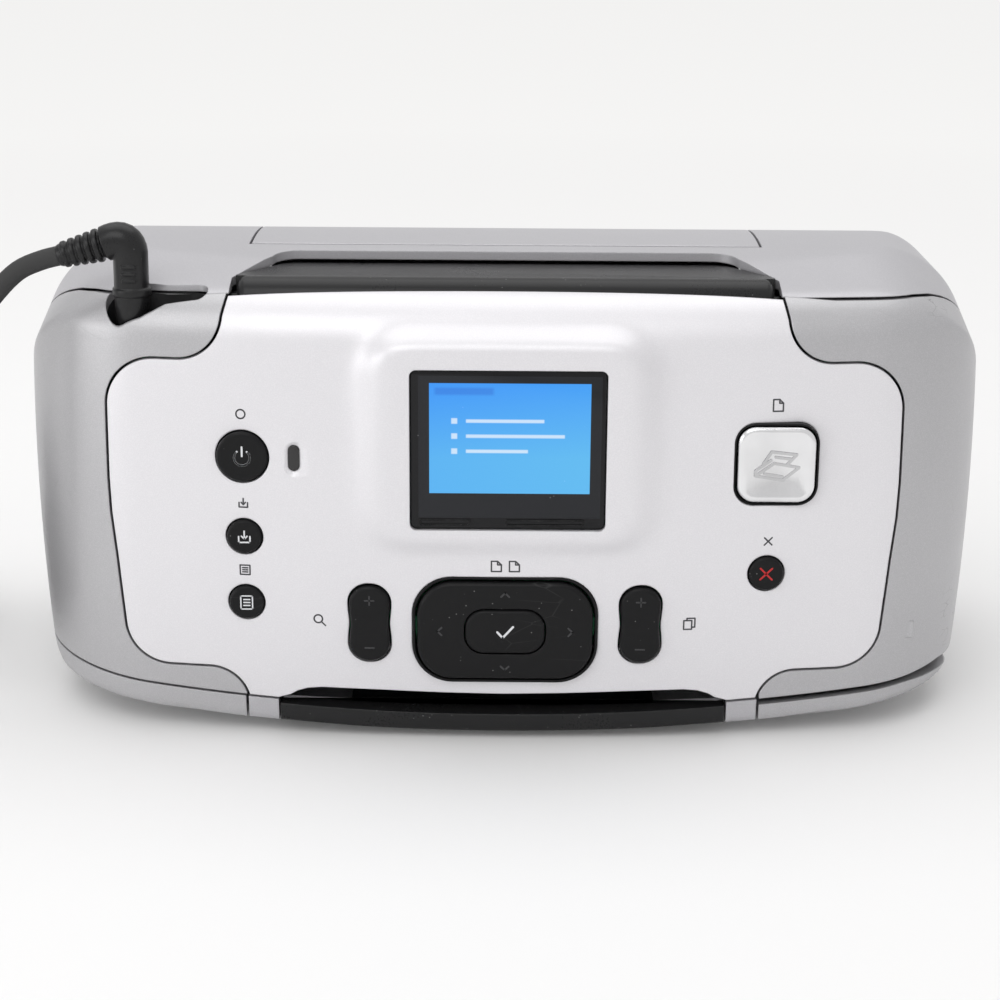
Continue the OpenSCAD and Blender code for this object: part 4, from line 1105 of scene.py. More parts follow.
    def tray(self) -> None:
        """Input tray in two sections with interleaved fold knuckles."""
        half = self.tray_half
        ends = [-58, -38, -8, 8, 38, 58]
        low = [(19.5, 100.6), (23.5, 108.6), (90, 90), (90, 37), (54, 37)]
        piece = cut_piece("input_tray_plate", self.hull, [prism("keep", low, Axis.X, -half, half)], [
            rod("cut_knuckle", Axis.X, *FOLD_AT, 3.5, ends[k] - 0.7, ends[k + 1] + room)
            for k, room in ((0, 0.1), (2, 0.1), (4, 0.7))
        ])
        barrel = rod("barrel", Axis.X, *TRAY_AT, 3.4, -half, half)
        knuckles = [rod("k", Axis.X, *FOLD_AT, 3.0, ends[k] + 0.3, ends[k + 1] - 0.3) for k in (1, 3)]
        merge(piece, [barrel] + knuckles)
        cut_lo, cut_hi = Vector((20, -2.5)), Vector((23.2, -1.1))
        turn = Matrix.Rotation(math.radians(116), 2)
        corners = [turn @ Vector((u, v)) + Vector(TRAY_AT) for u, v in
                   ((cut_lo.x, cut_lo.y), (cut_hi.x, cut_lo.y), (cut_hi.x, cut_hi.y), (cut_lo.x, cut_hi.y))]
        smooth(combine(piece, [prism("track", [tuple(c) for c in corners], Axis.X, 20, 50)]))
        finish_piece(piece, Finish.LIGHT, "input_tray", ["input_tray"])
        high = [(-14.3, 90), (-14.3, 120), (21.5, 120), (19.5, 100.6), (8, 95)]
        flap = cut_piece("tray_extension_plate", self.hull, [prism("keep", high, Axis.X, -half, half)], [
            rod("cut_knuckle", Axis.X, *FOLD_AT, 3.5, ends[k] - 0.2, ends[k + 1] + 0.2) for k in (1, 3)
        ])
        merge(flap, [rod("k", Axis.X, *FOLD_AT, 3.0, ends[k], ends[k + 1]) for k in (0, 2, 4)])
        lip = prism("lip", [(-14.3, 104.6), (-14.3, 106.85), (-13.9, 107.0), (-12.9, 106.7), (-12.6, 104.6)],
                    Axis.X, -57.4, 56.4)
        flap = joined("tray_extension_plate", [flap, bevel(lip, 0.2)])
        finish_piece(flap, Finish.LIGHT, "tray_extension", ["tray_extension"])


# Front panel and controls


SCREEN_AT = (0.8, 69.3)
ON_AT = (-57.7, 66.4)
SAVE_AT = (-57.6, 48.1)
MENU_AT = (-57.5, 32.6)
LED_AT = (-46.3, 66.3)
PRINT_AT = (59.9, 65.4)
CANCEL_AT = (58.6, 40.2)
PAD_AT = (0.4, 27.4)
ZOOM_AT = (-29.9, 28.5)
COPIES_AT = (30.7, 28.5)
ON_R = 5.7
KEY_R = 3.9
BOARD_Y = -44.5


def face_y(at: Point2) -> float:
    """Place of the plain front face, as the part's source gives it."""
    return -56 + at[0] ** 2 / 1040 + (at[1] - 48) ** 2 / 840


def peanut(at: Point2, w: float, h: float, waist: float) -> list[Point2]:
    """Outline of a rocker, narrower across its middle."""
    points = round_box(at[0], at[1], w, h, w / 2 - 0.3, 10)
    fine: list[Point2] = []
    for a, b in zip(points, points[1:] + points[:1]):
        steps = max(1, int(math.dist(a, b) / 0.6))
        fine += [(a[0] + (b[0] - a[0]) * k / steps, a[1] + (b[1] - a[1]) * k / steps) for k in range(steps)]
    bend = [1 - waist * math.exp(-(((z - at[1]) / 2.6) ** 2)) for _, z in fine]
    return [(at[0] + (x - at[0]) * k, z) for (x, z), k in zip(fine, bend)]


def capsule(a: Point2, b: Point2, w: float) -> list[Point2]:
    """Outline of a stroke with round ends."""
    t = math.degrees(math.atan2(b[1] - a[1], b[0] - a[0]))
    return arc(b[0], b[1], w / 2, t - 90, t + 90, 6) + arc(a[0], a[1], w / 2, t + 90, t + 270, 6)


Stroke = Sequence[Point2]


class Signs:
    """Plain pictograms as strokes about a centre, in millimetres."""

    @staticmethod
    def power() -> list[Stroke]:
        """Open circle with a bar."""
        return [arc(0, -0.15, 1.75, 128, 412, 26), [(0, 0.2), (0, 2.3)]]

    @staticmethod
    def cross(r: float) -> list[Stroke]:
        """Two crossed strokes."""
        return [[(-r, -r), (r, r)], [(-r, r), (r, -r)]]

    @staticmethod
    def sheet(w: float, h: float) -> list[Stroke]:
        """Sheet with a folded corner."""
        f = 0.38 * w
        a, b = w / 2, h / 2
        edge = [(-a, -b), (a, -b), (a, b - f), (a - f, b), (-a, b), (-a, -b)]
        return [edge, [(a - f, b), (a - f, b - f), (a, b - f)]]

    @staticmethod
    def rows(w: float, h: float) -> list[Stroke]:
        """Frame with three lines in it."""
        a, b = w / 2, h / 2
        lines: list[Stroke] = [[(-0.5 * a, k * 0.45 * b), (0.55 * a, k * 0.45 * b)] for k in (-1, 0, 1)]
        return [[(-a, -b), (a, -b), (a, b), (-a, b), (-a, -b)]] + lines

    @staticmethod
    def tray(w: float) -> list[Stroke]:
        """Tray with an arrow down into it."""
        return [
            [(-w, 0.1 * w), (-w, -w), (w, -w), (w, 0.1 * w)],
            [(0, 1.1 * w), (0, -0.35 * w)],
            [(-0.5 * w, 0.15 * w), (0, -0.4 * w), (0.5 * w, 0.15 * w)],
        ]

    @staticmethod
    def lens() -> list[Stroke]:
        """Magnifier."""
        return [arc(-0.25, 0.25, 0.95, 0, 360, 20), [(0.45, -0.45), (1.35, -1.35)]]

    @staticmethod
    def pair() -> list[Stroke]:
        """Two stacked sheets."""
        box_a: Stroke = [(-1.3, -1.3), (0.5, -1.3), (0.5, 0.8), (-1.3, 0.8), (-1.3, -1.3)]
        behind: list[Stroke] = [[(-0.6, 1.35), (1.2, 1.35), (1.2, -0.8)], [(-0.6, 1.35), (-0.6, 0.8)]]
        return [box_a] + behind + [[(1.2, -0.8), (0.5, -0.8)]]

    @staticmethod
    def chevron(turn: float, r: float = 0.9) -> list[Stroke]:
        """Arrow head that points along an angle."""
        c, s = math.cos(math.radians(turn)), math.sin(math.radians(turn))
        pts = [(-0.5 * r, r), (0.5 * r, 0), (-0.5 * r, -r)]
        return [[(x * c - y * s, x * s + y * c) for x, y in pts]]

    @staticmethod
    def tick() -> list[Stroke]:
        """Check mark."""
        return [[(-1.7, 0.1), (-0.5, -1.25), (1.8, 1.35)]]

    @staticmethod
    def plus(r: float) -> list[Stroke]:
        """Plus sign."""
        return [[(-r, 0), (r, 0)], [(0, -r), (0, r)]]

    @staticmethod
    def minus(r: float) -> list[Stroke]:
        """Minus sign."""
        return [[(-r, 0), (r, 0)]]


def print_sign(
    name: str,
    signs: Sequence[tuple[Point2, list[Stroke]]],
    width: float,
    level: Callable[[np.ndarray, np.ndarray], np.ndarray],
    proud: float = 0.04,
    deep: float = 0.25,
    one: bool = False,
) -> bpy.types.Object:
    """Signs as thin closed strokes that follow a surface of the front.

    Args:
        name: object name.
        signs: centre and strokes of each sign.
        width: stroke width.
        level: front surface, Y over X and Z.
        proud: height over the surface.
        deep: depth under it.
        one: fuses the strokes into one solid.

    Returns:
        All the signs as one object.
    """
    parts = []
    for (cx, cz), strokes in signs:
        for stroke in strokes:
            for a, b in zip(stroke, stroke[1:]):
                line = capsule((cx + a[0], cz + a[1]), (cx + b[0], cz + b[1]), width)
                parts.append(prism("stroke", line, Axis.Y, 0, 1))
    if one:
        parts = [combine(parts[0], parts[1:], "UNION")]
    obj = joined(name, parts)
    count = len(obj.data.vertices)
    flat = np.empty(count * 3)
    obj.data.vertices.foreach_get("co", flat)
    p = flat.reshape(-1, 3) / MM
    skin = level(p[:, 0], p[:, 2])
    p[:, 1] = np.where(p[:, 1] < 0.5, skin - proud, skin + deep)
    obj.data.vertices.foreach_set("co", (p * MM).ravel())
    obj.data.update()
    return obj


def flat_level(y: float) -> Callable[[np.ndarray, np.ndarray], np.ndarray]:
    """Front surface at one depth."""
    return lambda x, z: np.full_like(x, y)


@dataclass
class Front:
    """Front panel with the screen, its buttons and their signs."""

    hull: bpy.types.Object
    gap: float = 0.35

    def panel(self) -> None:
        """Pearl panel with the raised screen housing and its openings."""
        arch = [(58.2, -9), (58.2, base_z(58) + SEAM), (51, base_z(51) + SEAM), (48.2, 10.2), (46.6, 11.2),
                (44.2, 12.0), (41, 12.35), (28, 12.15), (14, 11.8), (0, 11.6)]
        small = (SAVE_AT, MENU_AT, CANCEL_AT)
        holes = [rod("hole", Axis.Y, *ON_AT, ON_R + self.gap, *THROUGH, 64)]
        holes += [rod("hole", Axis.Y, *at, KEY_R + self.gap, *THROUGH, 56) for at in small]
        outlines = [round_box(*LED_AT, 2.6, 6, 1.28), round_box(*PRINT_AT, 18.8, 18.8, 4.6)]
        outlines.append(round_box(*PAD_AT, 41.6, 25.2, 9))
        outlines += [peanut(at, 9.9, 19.0, 0.07) for at in (ZOOM_AT, COPIES_AT)]
        outlines.append(round_box(*SCREEN_AT, 43.0, 36.2, 1.5))
        outlines.append(arch + mirrored(arch[:-1]))
        holes += [prism("hole", outline, Axis.Y, *THROUGH) for outline in outlines]
        keep = prism("keep_panel", panel_outline(-SEAM / 2), Axis.Y, -90, -44)
        piece = cut_piece("front_panel_shell", self.hull, [keep], holes)
        y = face_y(LED_AT)
        dish = prism("dish", round_box(*LED_AT, 2.9, 6.4, 1.44), Axis.Y, y - 1.6, y + 0.55)
        for v in dish.data.vertices:
            if v.co.y / MM < y:
                v.co.x = (LED_AT[0] + (v.co.x / MM - LED_AT[0]) * 3.1) * MM
                v.co.z = (LED_AT[1] + (v.co.z / MM - LED_AT[1]) * 2.0) * MM
        piece = smooth(combine(piece, [dish]))
        finish_piece(piece, Finish.PEARL, "frame", ["front_panel"])

    def screen(self) -> None:
        """Window over the display, with two clips at its lower edge."""
        lens = prism("screen_window", round_box(*SCREEN_AT, 42.6, 35.8, 1.3), Axis.Y, -56.7, -55)
        finish_piece(smooth(bevel(lens, 0.25, 2)), Finish.WINDOW, "frame", ["screen_lens"])
        clips = []
        for x0, x1 in ((-18.6, -7.4), (0.4, 17.6)):
            rim = prism("clip", round_box((x0 + x1) / 2, 52.9, x1 - x0, 1.5, 0.4, 4), Axis.Y, -56.86, -56.6)
            clips.append(combine(rim, [prism("in", round_box((x0 + x1) / 2, 52.9, x1 - x0 - 0.7, 0.8, 0.2, 4),
                                             Axis.Y, -57, -56)]))
        finish_piece(smooth(joined("screen_clips", clips)), Finish.GLOSS, "frame")

    def key(self, node: str, at: Point2, r: float, signs: list[Stroke], ink: Finish, width: float) -> None:
        """Round dished button with its sign."""
        y = face_y(at)
        profile = [(0, y - 0.55), (r * 0.5, y - 0.6), (r * 0.78, y - 0.7)]
        profile += arc(r - 0.75, y - 0.05, 0.75, -75, 0, 5)
        profile += [(r, y + 3.5), (r + 1.2, y + 3.5), (r + 1.2, y + 4.3), (1.5, y + 4.3)]
        profile += [(1.5, BOARD_Y - 2.6), (0, BOARD_Y - 2.6)]
        cap = lathe_y(node + "_cap", at[0], at[1], profile)
        finish_piece(cap, Finish.GLOSS, node, [node])
        sign = print_sign(node + "_sign", [(at, signs)], width, flat_level(y - 0.57), 0.06)
        finish_piece(sign, ink, node)

    def keys(self) -> None:
        """The four round buttons."""
        self.key("on_button", ON_AT, ON_R, Signs.power(), Finish.PALE_INK, 0.42)
        self.key("save_button", SAVE_AT, KEY_R, Signs.tray(1.25), Finish.PALE_INK, 0.34)
        self.key("menu_button", MENU_AT, KEY_R, Signs.rows(2.6, 3.1), Finish.PALE_INK, 0.3)
        self.key("cancel_button", CANCEL_AT, KEY_R, Signs.cross(1.3), Finish.RED_INK, 0.4)

    def lamp(self) -> None:
        """Status lamp at the foot of its dished recess."""
        y = face_y(LED_AT)
        lens = bevel(prism("lamp_lens", round_box(*LED_AT, 2.5, 5.9, 1.23), Axis.Y, y + 0.3, y + 4), 0.3)
        finish_piece(smooth(lens), Finish.LAMP, "frame", ["led_lens"])

    def print_key(self) -> None:
        """Chromed print button in its black ring, with an embossed sheet sign."""
        y = face_y(PRINT_AT)
        ring = prism("print_ring_rim", round_box(*PRINT_AT, 18.7, 18.7, 4.6), Axis.Y, y - 0.5, y + 5)
        combine(ring, [prism("in", round_box(*PRINT_AT, 17.9, 17.9, 4.2), Axis.Y, y - 2, y + 6)])
        finish_piece(smooth(bevel(ring, 0.15)), Finish.GLOSS, "frame", ["print_ring"])
        cap = prism("print_cap", round_box(*PRINT_AT, 17.4, 17.4, 4), Axis.Y, y - 1.2, y + 3.2)
        bevel(cap, 1.1, 5)
        only(cap)
        bpy.ops.object.mode_set(mode="EDIT")
        bpy.ops.mesh.select_all(action="DESELECT")
        bpy.ops.object.mode_set(mode="OBJECT")
        for face in cap.data.polygons:
            face.select = face.normal.y < -0.99 and face.area > 1e-5
        bpy.ops.object.mode_set(mode="EDIT")
        bpy.ops.mesh.inset(thickness=0.5 * MM, depth=0)
        bpy.ops.mesh.inset(thickness=0.35 * MM, depth=-0.16 * MM)
        bpy.ops.object.mode_set(mode="OBJECT")
        stem = rod("stem", Axis.Y, *PRINT_AT, 2.4, y + 3, BOARD_Y - 2.6)
        cap = joined("print_cap", [smooth(cap, 25), stem])
        finish_piece(cap, Finish.CHROME, "print_button", ["print_button"])
        skew: list[Stroke] = [
            [(-4.6, -2.4), (1.4, -3.3), (4.9, -0.4), (-0.6, 0.5), (-4.6, -2.4)],
            [(-2.9, 0.4), (-1.2, 3.1), (4.3, 2.5), (2.2, 0.2)],
            [(-4.6, -2.4), (-4.6, -1.2), (-1.3, 1.2)],
            [(-0.3, 1.9), (3.1, 1.5)],
            [(-2.6, -1.9), (1.3, -2.5)],
        ]
        sign = print_sign("print_sign", [(PRINT_AT, skew)], 0.6, flat_level(y - 1.04), 0.22, one=True)
        finish_piece(smooth(sign), Finish.EMBOSS, "print_button")

    def pad(self) -> None:
        """Select pad on its gimbal, with the button in its middle."""
        y = face_y((0, PAD_AT[1]))
        well = prism("pad_rim", round_box(*PAD_AT, 41.4, 25.0, 9), Axis.Y, y - 0.3, y + 4.5)
        combine(well, [prism("in", round_box(*PAD_AT, 40.2, 23.8, 8.5), Axis.Y, y - 2, y + 6)])
        finish_piece(smooth(bevel(well, 0.2)), Finish.GLOSS, "frame", ["pad_well"])
        plate = prism("select_plate", round_box(*PAD_AT, 39.2, 22.8, 8, 16), Axis.Y, y - 1.4, y + 1.4)
        bevel(plate, 1.0, 5)
        combine(plate, [prism("in", round_box(*PAD_AT, 18.4, 10.8, 4.6), Axis.Y, y - 4, y + 4)])
        ears = [box("ear", (-1.1, 1.9), (y + 1, y + 6.4), (z - 0.9, z + 0.9)) for z in (18.7, 36.1)]
        plate = joined("select_plate", [plate] + ears)
        finish_piece(smooth(plate), Finish.GLOSS, "select_pad", ["select_pad"])
        cx, cz = PAD_AT
        arrows = [((cx, cz + 8.7), Signs.chevron(90)), ((cx, cz - 8.7), Signs.chevron(-90)),
                  ((cx - 14.6, cz), Signs.chevron(180)), ((cx + 14.6, cz), Signs.chevron(0))]
        sign = print_sign("select_arrows", arrows, 0.4, flat_level(y - 1.4), 0.03)
        finish_piece(sign, Finish.FAINT_INK, "select_pad")
        middle = prism("ok_cap", round_box(*PAD_AT, 17.7, 10.1, 4.2), Axis.Y, y - 1.9, y + 1.6)
        bevel(middle, 0.7, 4)
        stem = rod("stem", Axis.Y, *PAD_AT, 1.8, y + 1.2, BOARD_Y - 3.4)
        middle = joined("ok_cap", [middle, stem])
        finish_piece(smooth(middle), Finish.GLOSS, "ok_button", ["ok_button"])
        tick = print_sign("ok_sign", [(PAD_AT, Signs.tick())], 0.5, flat_level(y - 1.9), 0.04)
        finish_piece(tick, Finish.PALE_INK, "ok_button")

    def rocker(self, node: str, at: Point2, top: list[Stroke], low: list[Stroke]) -> None:
        """Rocker with a dip across its waist and faint signs at its ends."""
        y = face_y(at)
        cap = prism(node + "_cap", peanut(at, 9.2, 17.8, 0.08), Axis.Y, y - 1, y + 3)
        bevel(cap, 0.9, 4)
        combine(cap, [rod("dip", Axis.X, y - 20.78, at[1], 20.0, at[0] - 8, at[0] + 8, 240)])
        foot = box("foot", (at[0] - 2.6, at[0] + 2.6), (y + 2.8, y + 4.6), (at[1] - 1.4, at[1] + 1.4))
        axle = rod("axle", Axis.X, y + 4.6, at[1], 1, at[0] - 6.2, at[0] + 6.2)
        cap = joined(node + "_cap", [cap, foot, axle])
        finish_piece(smooth(cap), Finish.GLOSS, node, [node])
        signs = [((at[0], at[1] + 5.6), top), ((at[0], at[1] - 5.6), low)]
        sign = print_sign(node + "_sign", signs, 0.34, flat_level(y - 1), 0.03)
        finish_piece(sign, Finish.FAINT_INK, node)

    def labels(self) -> None:
        """Signs printed on the panel beside the buttons."""
        signs = [
            ((-57.9, 75.9), [arc(0, 0, 1.0, 0, 360, 20)]),
            ((-57.7, 55.8), Signs.tray(0.95)),
            ((-57.7, 40.2), Signs.rows(2.2, 2.2)),
            ((-41.2, 28.9), Signs.lens()),
            ((41.8, 28.5), Signs.pair()),
            ((59.9, 78.6), Signs.sheet(2.2, 2.6)),
            ((58.8, 47.7), Signs.cross(0.85)),
            ((-1.6, 42.5), Signs.sheet(2.2, 2.4)),
            ((2.4, 42.5), Signs.sheet(2.2, 2.4)),
        ]
        sign = print_sign("panel_signs", signs, 0.34, Form.front_y, 0.03)
        finish_piece(sign, Finish.INK, "frame")

    def build(self) -> None:
        """Makes the whole front."""
        self.panel()
        self.screen()
        self.keys()
        self.lamp()
        self.print_key()
        self.pad()
        self.rocker("zoom_rocker", ZOOM_AT, Signs.plus(1.0), Signs.minus(1.0))
        self.rocker("copies_rocker", COPIES_AT, Signs.plus(1.0), Signs.minus(1.0))
        self.labels()


@dataclass
class Fittings:
    """Carry handle and photo tray of the case."""

    full: bpy.types.Object
    handle_at: Point2 = (-37.0, 98.4)

    def handle(self) -> None:
        """Flip-up handle: a thin plate with a rolled front edge."""
        y, z = self.handle_at
        rings = [(57.4, 5.4), (58.4, 5.1), (59.0, 4.5), (59.3, 3.6)]
        points = [(-x, y, z) for x, _ in reversed(rings)] + [(x, y, z) for x, _ in rings]
        nose = sweep("nose", points, [r for _, r in reversed(rings)] + [r for _, r in rings], 64, (0, 0, 1))
        plate = prism("plate", handle_outline(-0.8), Axis.Z, 97, 104.2)
        combine(plate, [box("cut", (-80, 80), (-90, y), (80, 120))])
        level = prism("level", [(y, 90), (y, 103.75), (-28, 103.9), (-18, 103.6), (-18, 90)], Axis.X, -70, 70)
        combine(plate, [level], "INTERSECT")
        under = prism("under", handle_outline(-3), Axis.Z, 90, 101.6)
        combine(under, [box("cut", (-80, 80), (-90, y + 5), (80, 120))])
        combine(plate, [under])
        combine(nose, [plate], "UNION")
        pin = rod("pin", Axis.X, y, z, 1.5, -63.4, 63.4)
        handle = joined("carry_handle_plate", [nose, pin])
        finish_piece(smooth(handle, 40), Finish.SLATE, "carry_handle", ["carry_handle"])

    def photo_tray(self) -> None:
        """Pull-out photo tray with its bowed front bar."""
        outline = belt_outline(lambda x: 1.9 + x * x / 1700, lambda x: 6.3 + x * x / 1700, 50.6)
        bar = prism("photo_tray_bar", outline, Axis.Y, -90, -48)
        combine(bar, [self.full], "INTERSECT", keep=True)
        slide = bevel(box("slide", (-35, 35), (-49.5, 8), (4.6, 5.6)), 0.3)
        wing = bevel(box("wing", (-49.4, 49.4), (-49.5, -42.5), (4.6, 5.6)), 0.3)
        tray = joined("photo_tray_bar", [smooth(bar), slide, wing])
        finish_piece(tray, Finish.SLATE, "output_tray", ["output_tray"])


# Power lead


PLUG = (-82.2, -41.8, 113.0)
ARM = 16.0
LEAN = math.radians(15)
ARM_END = (PLUG[0] - ARM * math.cos(LEAN), PLUG[1], PLUG[2] - ARM * math.sin(LEAN))


def spline(points: Sequence[Point3], steps: int) -> list[Point3]:
    """Smooth curve through points, with a number of steps a span."""
    pts = [np.array(p, float) for p in points]
    out: list[Point3] = []
    for k in range(len(pts) - 1):
        a, b, c, d = pts[max(k - 1, 0)], pts[k], pts[k + 1], pts[min(k + 2, len(pts) - 1)]
        for j in range(steps):
            t = j / steps
            bend, twist = 2 * a - 5 * b + 4 * c - d, 3 * b - a - 3 * c + d
            q = 0.5 * (2 * b + (c - a) * t + bend * t**2 + twist * t**3)
            out.append(tuple(float(v) for v in q))
    out.append(tuple(float(v) for v in pts[-1]))
    return out


@dataclass
class Lead:
    """Power lead: angled plug, free cord, coil with its tie, and the adapter at its far end."""

    diameter: float = 4.4
    coil_at: Point2 = (-172.0, 11.5)
    coil_in: float = 19.0
    coil_out: float = 31.5
    pitch: float = 5.0
    coil_low: float = 3.0
    coil_top: float = 18.0

    def coil_point(self, t: float) -> Point3:
        """Place on the coil after t turns."""
        m = t % 5
        reach = self.coil_out - self.pitch * (m if m <= 2.5 else 5 - m)
        angle = math.radians(-90 - 360 * t)
        rise = sum(float(smooth_step(0, 1, (t - turns) * 2 + 0.5)) for turns in (2.5, 5, 7.5))
        x, y = self.coil_at
        return (x + reach * math.cos(angle), y + reach * math.sin(angle), self.coil_low + self.pitch * rise)

    def route(self) -> list[Point3]:
        """Whole centre line in millimetres, from the plug to the adapter."""
        start = (self.coil_at[0], self.coil_at[1] - self.coil_out, self.coil_low)
        end = (self.coil_at[0], self.coil_at[1] - self.coil_out, self.coil_top)
        down = [ARM_END, (ARM_END[0] - 4.4 * math.cos(LEAN), ARM_END[1], ARM_END[2] - 4.4 * math.sin(LEAN))]
        down += [(-107, -42, 105.4), (-112, -42.2, 100.6), (-117, -42.5, 94), (-121.5, -42.5, 85.5)]
        down += [(-125, -42.5, 75), (-127.5, -42, 63), (-129.5, -41.5, 51), (-132, -40.5, 38.5)]
        down += [(-136, -38, 26.5), (-142, -34, 16), (-150, -28, 8)]
        down += [(start[0] + 10.56, start[1], start[2]), (start[0] + 4.4, start[1], start[2])]
        coil = [self.coil_point(k / 24) for k in range(241)] + [(end[0] - 4.4, end[1], end[2])]
        out = [(end[0] - 4.4, end[1], end[2]), (end[0] - 9.68, end[1], end[2]), (-192, -19.8, 16.4)]
        out += [(-204, -19.6, 15.4), (-216, -17.4, 14.4), (-226, -12, 13.6), (-232.5, -5, 13.1)]
        out += [(-235, -1.4, 13), (-235, 3, 13)]
        return spline(down, 4) + coil + spline(out, 4)[1:]

    def cord(self, carried: Sequence[bpy.types.Object]) -> None:
        """The cord itself, as one curve."""
        route = self.route()
        curve = bpy.data.curves.new("power_cord_line", "CURVE")
        curve.dimensions = "3D"
        curve.bevel_depth = self.diameter / 2 * MM
        curve.bevel_resolution = 4
        curve.use_fill_caps = True
        line = curve.splines.new("POLY")
        line.points.add(len(route) - 1)
        for point, at in zip(line.points, route):
            point.co = (at[0] * MM, at[1] * MM, at[2] * MM, 1.0)
        line.use_smooth = True
        obj = bpy.data.objects.new("power_cord_line", curve)
        bpy.context.collection.objects.link(obj)
        length = sum(math.dist(a, b) for a, b in zip(route, route[1:])) * MM
        finish_piece(obj, Finish.CORD, "frame", ["power_cord", "cord_coil"])

    def plug(self) -> bpy.types.Object:
        """Angled plug with a ribbed strain relief."""
        x, y, z = PLUG
        c, s = math.cos(LEAN), math.sin(LEAN)
        line = [(x, y, 90.7), (x, y, 93.0), (x, y, 93.2), (x, y, 93.8), (x, y, 108.4)]
        radii = [2.7, 2.7, 3.3, 3.8, 3.85]
        a, b, d = (x, y, 108.4), (x, y, 114.1), (x - 5.6 * c, y, 113 - 5.6 * s)
        for k in range(1, 11):
            t = k / 10
            q = tuple((1 - t) ** 2 * u + 2 * t * (1 - t) * v + t * t * w for u, v, w in zip(a, b, d))
            line.append(q)
            radii.append(3.9 + 0.15 * math.sin(math.pi * t))
        reach = 6.2
        for k in range(5):
            high, low = 3.75 - 0.2 * k, 2.95 - 0.09 * k
            shoulder = high - 0.12
            rib = [(0, low), (0.35, low), (0.5, shoulder), (0.75, high), (1.3, high), (1.55, shoulder)]
            for step, r in rib + [(1.7, low)]:
                line.append((x - (reach + step) * c, y, z - (reach + step) * s))
                radii.append(r)
            reach += 1.85
        line.append((x - (ARM - 0.25) * c, y, z - (ARM - 0.25) * s))
        line.append((x - (ARM + 0.3) * c, y, z - (ARM + 0.3) * s))
        radii += [2.5, 2.25]
        plug = sweep("angled_plug", line, radii, 40)
        collar = bevel(rod("collar", Axis.Z, x, y, 4.25, 100.2, 102.0, 64), 0.4)
        grip = [
            bevel(box("grip", (x - 1.6, x + 1.6), (y - 4.15, y - 3.5), (low, low + 0.7)), 0.2)
            for low in (103.6, 105.1, 106.6)
        ]
        plug = joined("angled_plug", [plug, collar] + grip)
        return finish_piece(smooth(plug, 40), Finish.SLATE, "frame", ["power_plug"])

    def tie(self) -> bpy.types.Object:
        """Hook and loop strap round the coil."""
        x0 = self.coil_at[0] + self.coil_in - 2.2
        x1 = self.coil_at[0] + self.coil_out + 2.2
        top = self.coil_top + 2.2
        outer = round_box((x0 + x1) / 2, (0.05 + top + 1.2) / 2, x1 - x0 + 2.8, top + 1.15, 2.6, 8)
        inner = round_box((x0 + x1) / 2, (0.65 + top + 0.5) / 2, x1 - x0 + 1.2, top - 0.15, 1.9, 8)
        strap = prism("cord_strap", outer, Axis.Y, 9.5, 13.5)
        combine(strap, [prism("in", inner, Axis.Y, 8, 15)])
        finish_piece(smooth(bevel(strap, 0.2, 2)), Finish.TEXTURED, "frame", ["cord_tie"])
        return strap

    def adapter(self) -> bpy.types.Object:
        """Adapter brick with a seam, a relief boot and a mains inlet."""
        brick = prism("adapter_brick", round_box(-235, 44, 40, 64, 5, 10), Axis.Z, 0, 26)
        bevel(brick, 1.6, 4)
        groove = prism("seam", round_box(-235, 44, 42, 66, 6, 10), Axis.Z, 12.7, 13.3)
        combine(groove, [prism("in", round_box(-235, 44, 39.4, 63.4, 4.7, 10), Axis.Z, 12, 14)])
        combine(brick, [groove, box("inlet", (-242, -228), (66, 82), (9, 17))])
        pins = [box("pin", (x - 0.6, x + 0.6), (65.5, 73), (12.2, 13.8)) for x in (-238.3, -231.7)]
        ribs = [box("rib", (-249, -221), (y - 0.4, y + 0.4), (25.7, 26)) for y in (20, 22.2, 24.4)]
        pins, ribs = [bevel(p, 0.2) for p in pins], [bevel(r, 0.12) for r in ribs]
        rings = [(3.2, 2.5), (3.4, 3.0), (4.6, 3.1), (4.7, 2.6), (5.6, 2.65), (5.7, 3.2), (6.9, 3.3)]
        rings += [(7.0, 2.7), (7.9, 2.8), (8.0, 3.4), (9.4, 3.5), (9.5, 2.9), (10.4, 3.0), (10.6, 3.6), (13.0, 3.6)]
        boot = sweep("boot", [(-235, y, 13) for y, _ in rings], [r for _, r in rings], 32, (0, 0, 1))
        obj = joined("adapter_brick", [brick, boot] + pins + ribs)
        return finish_piece(smooth(obj), Finish.TEXTURED, "frame", ["power_adapter"])

    def build(self) -> None:
        """Makes the whole lead."""
        self.cord([self.plug(), self.tie(), self.adapter()])


# Inside


@dataclass
class Inside:
    """CAD nodes that keep their shapes and get finer finishes."""

    nodes: dict
    record: dict

    def build(self) -> None:
        """Dresses every node by its material slot."""
        special = {
            "exit_frame": Finish.SLATE,
            "handle_well": Finish.TEXTURED,
            "dc_port": Finish.TEXTURED,
            "screen_module": Finish.TEXTURED,
        }
        for part in self.record["subparts"]:
            obj = self.nodes.get(part["node"])
            if obj is None:
                continue
            finish = special.get(part["node"], SLOTS[part["material_slot"]])
            for slot in obj.material_slots:
                slot.material = finish.material
            if not obj.material_slots:
                obj.data.materials.append(finish.material)


# Studio


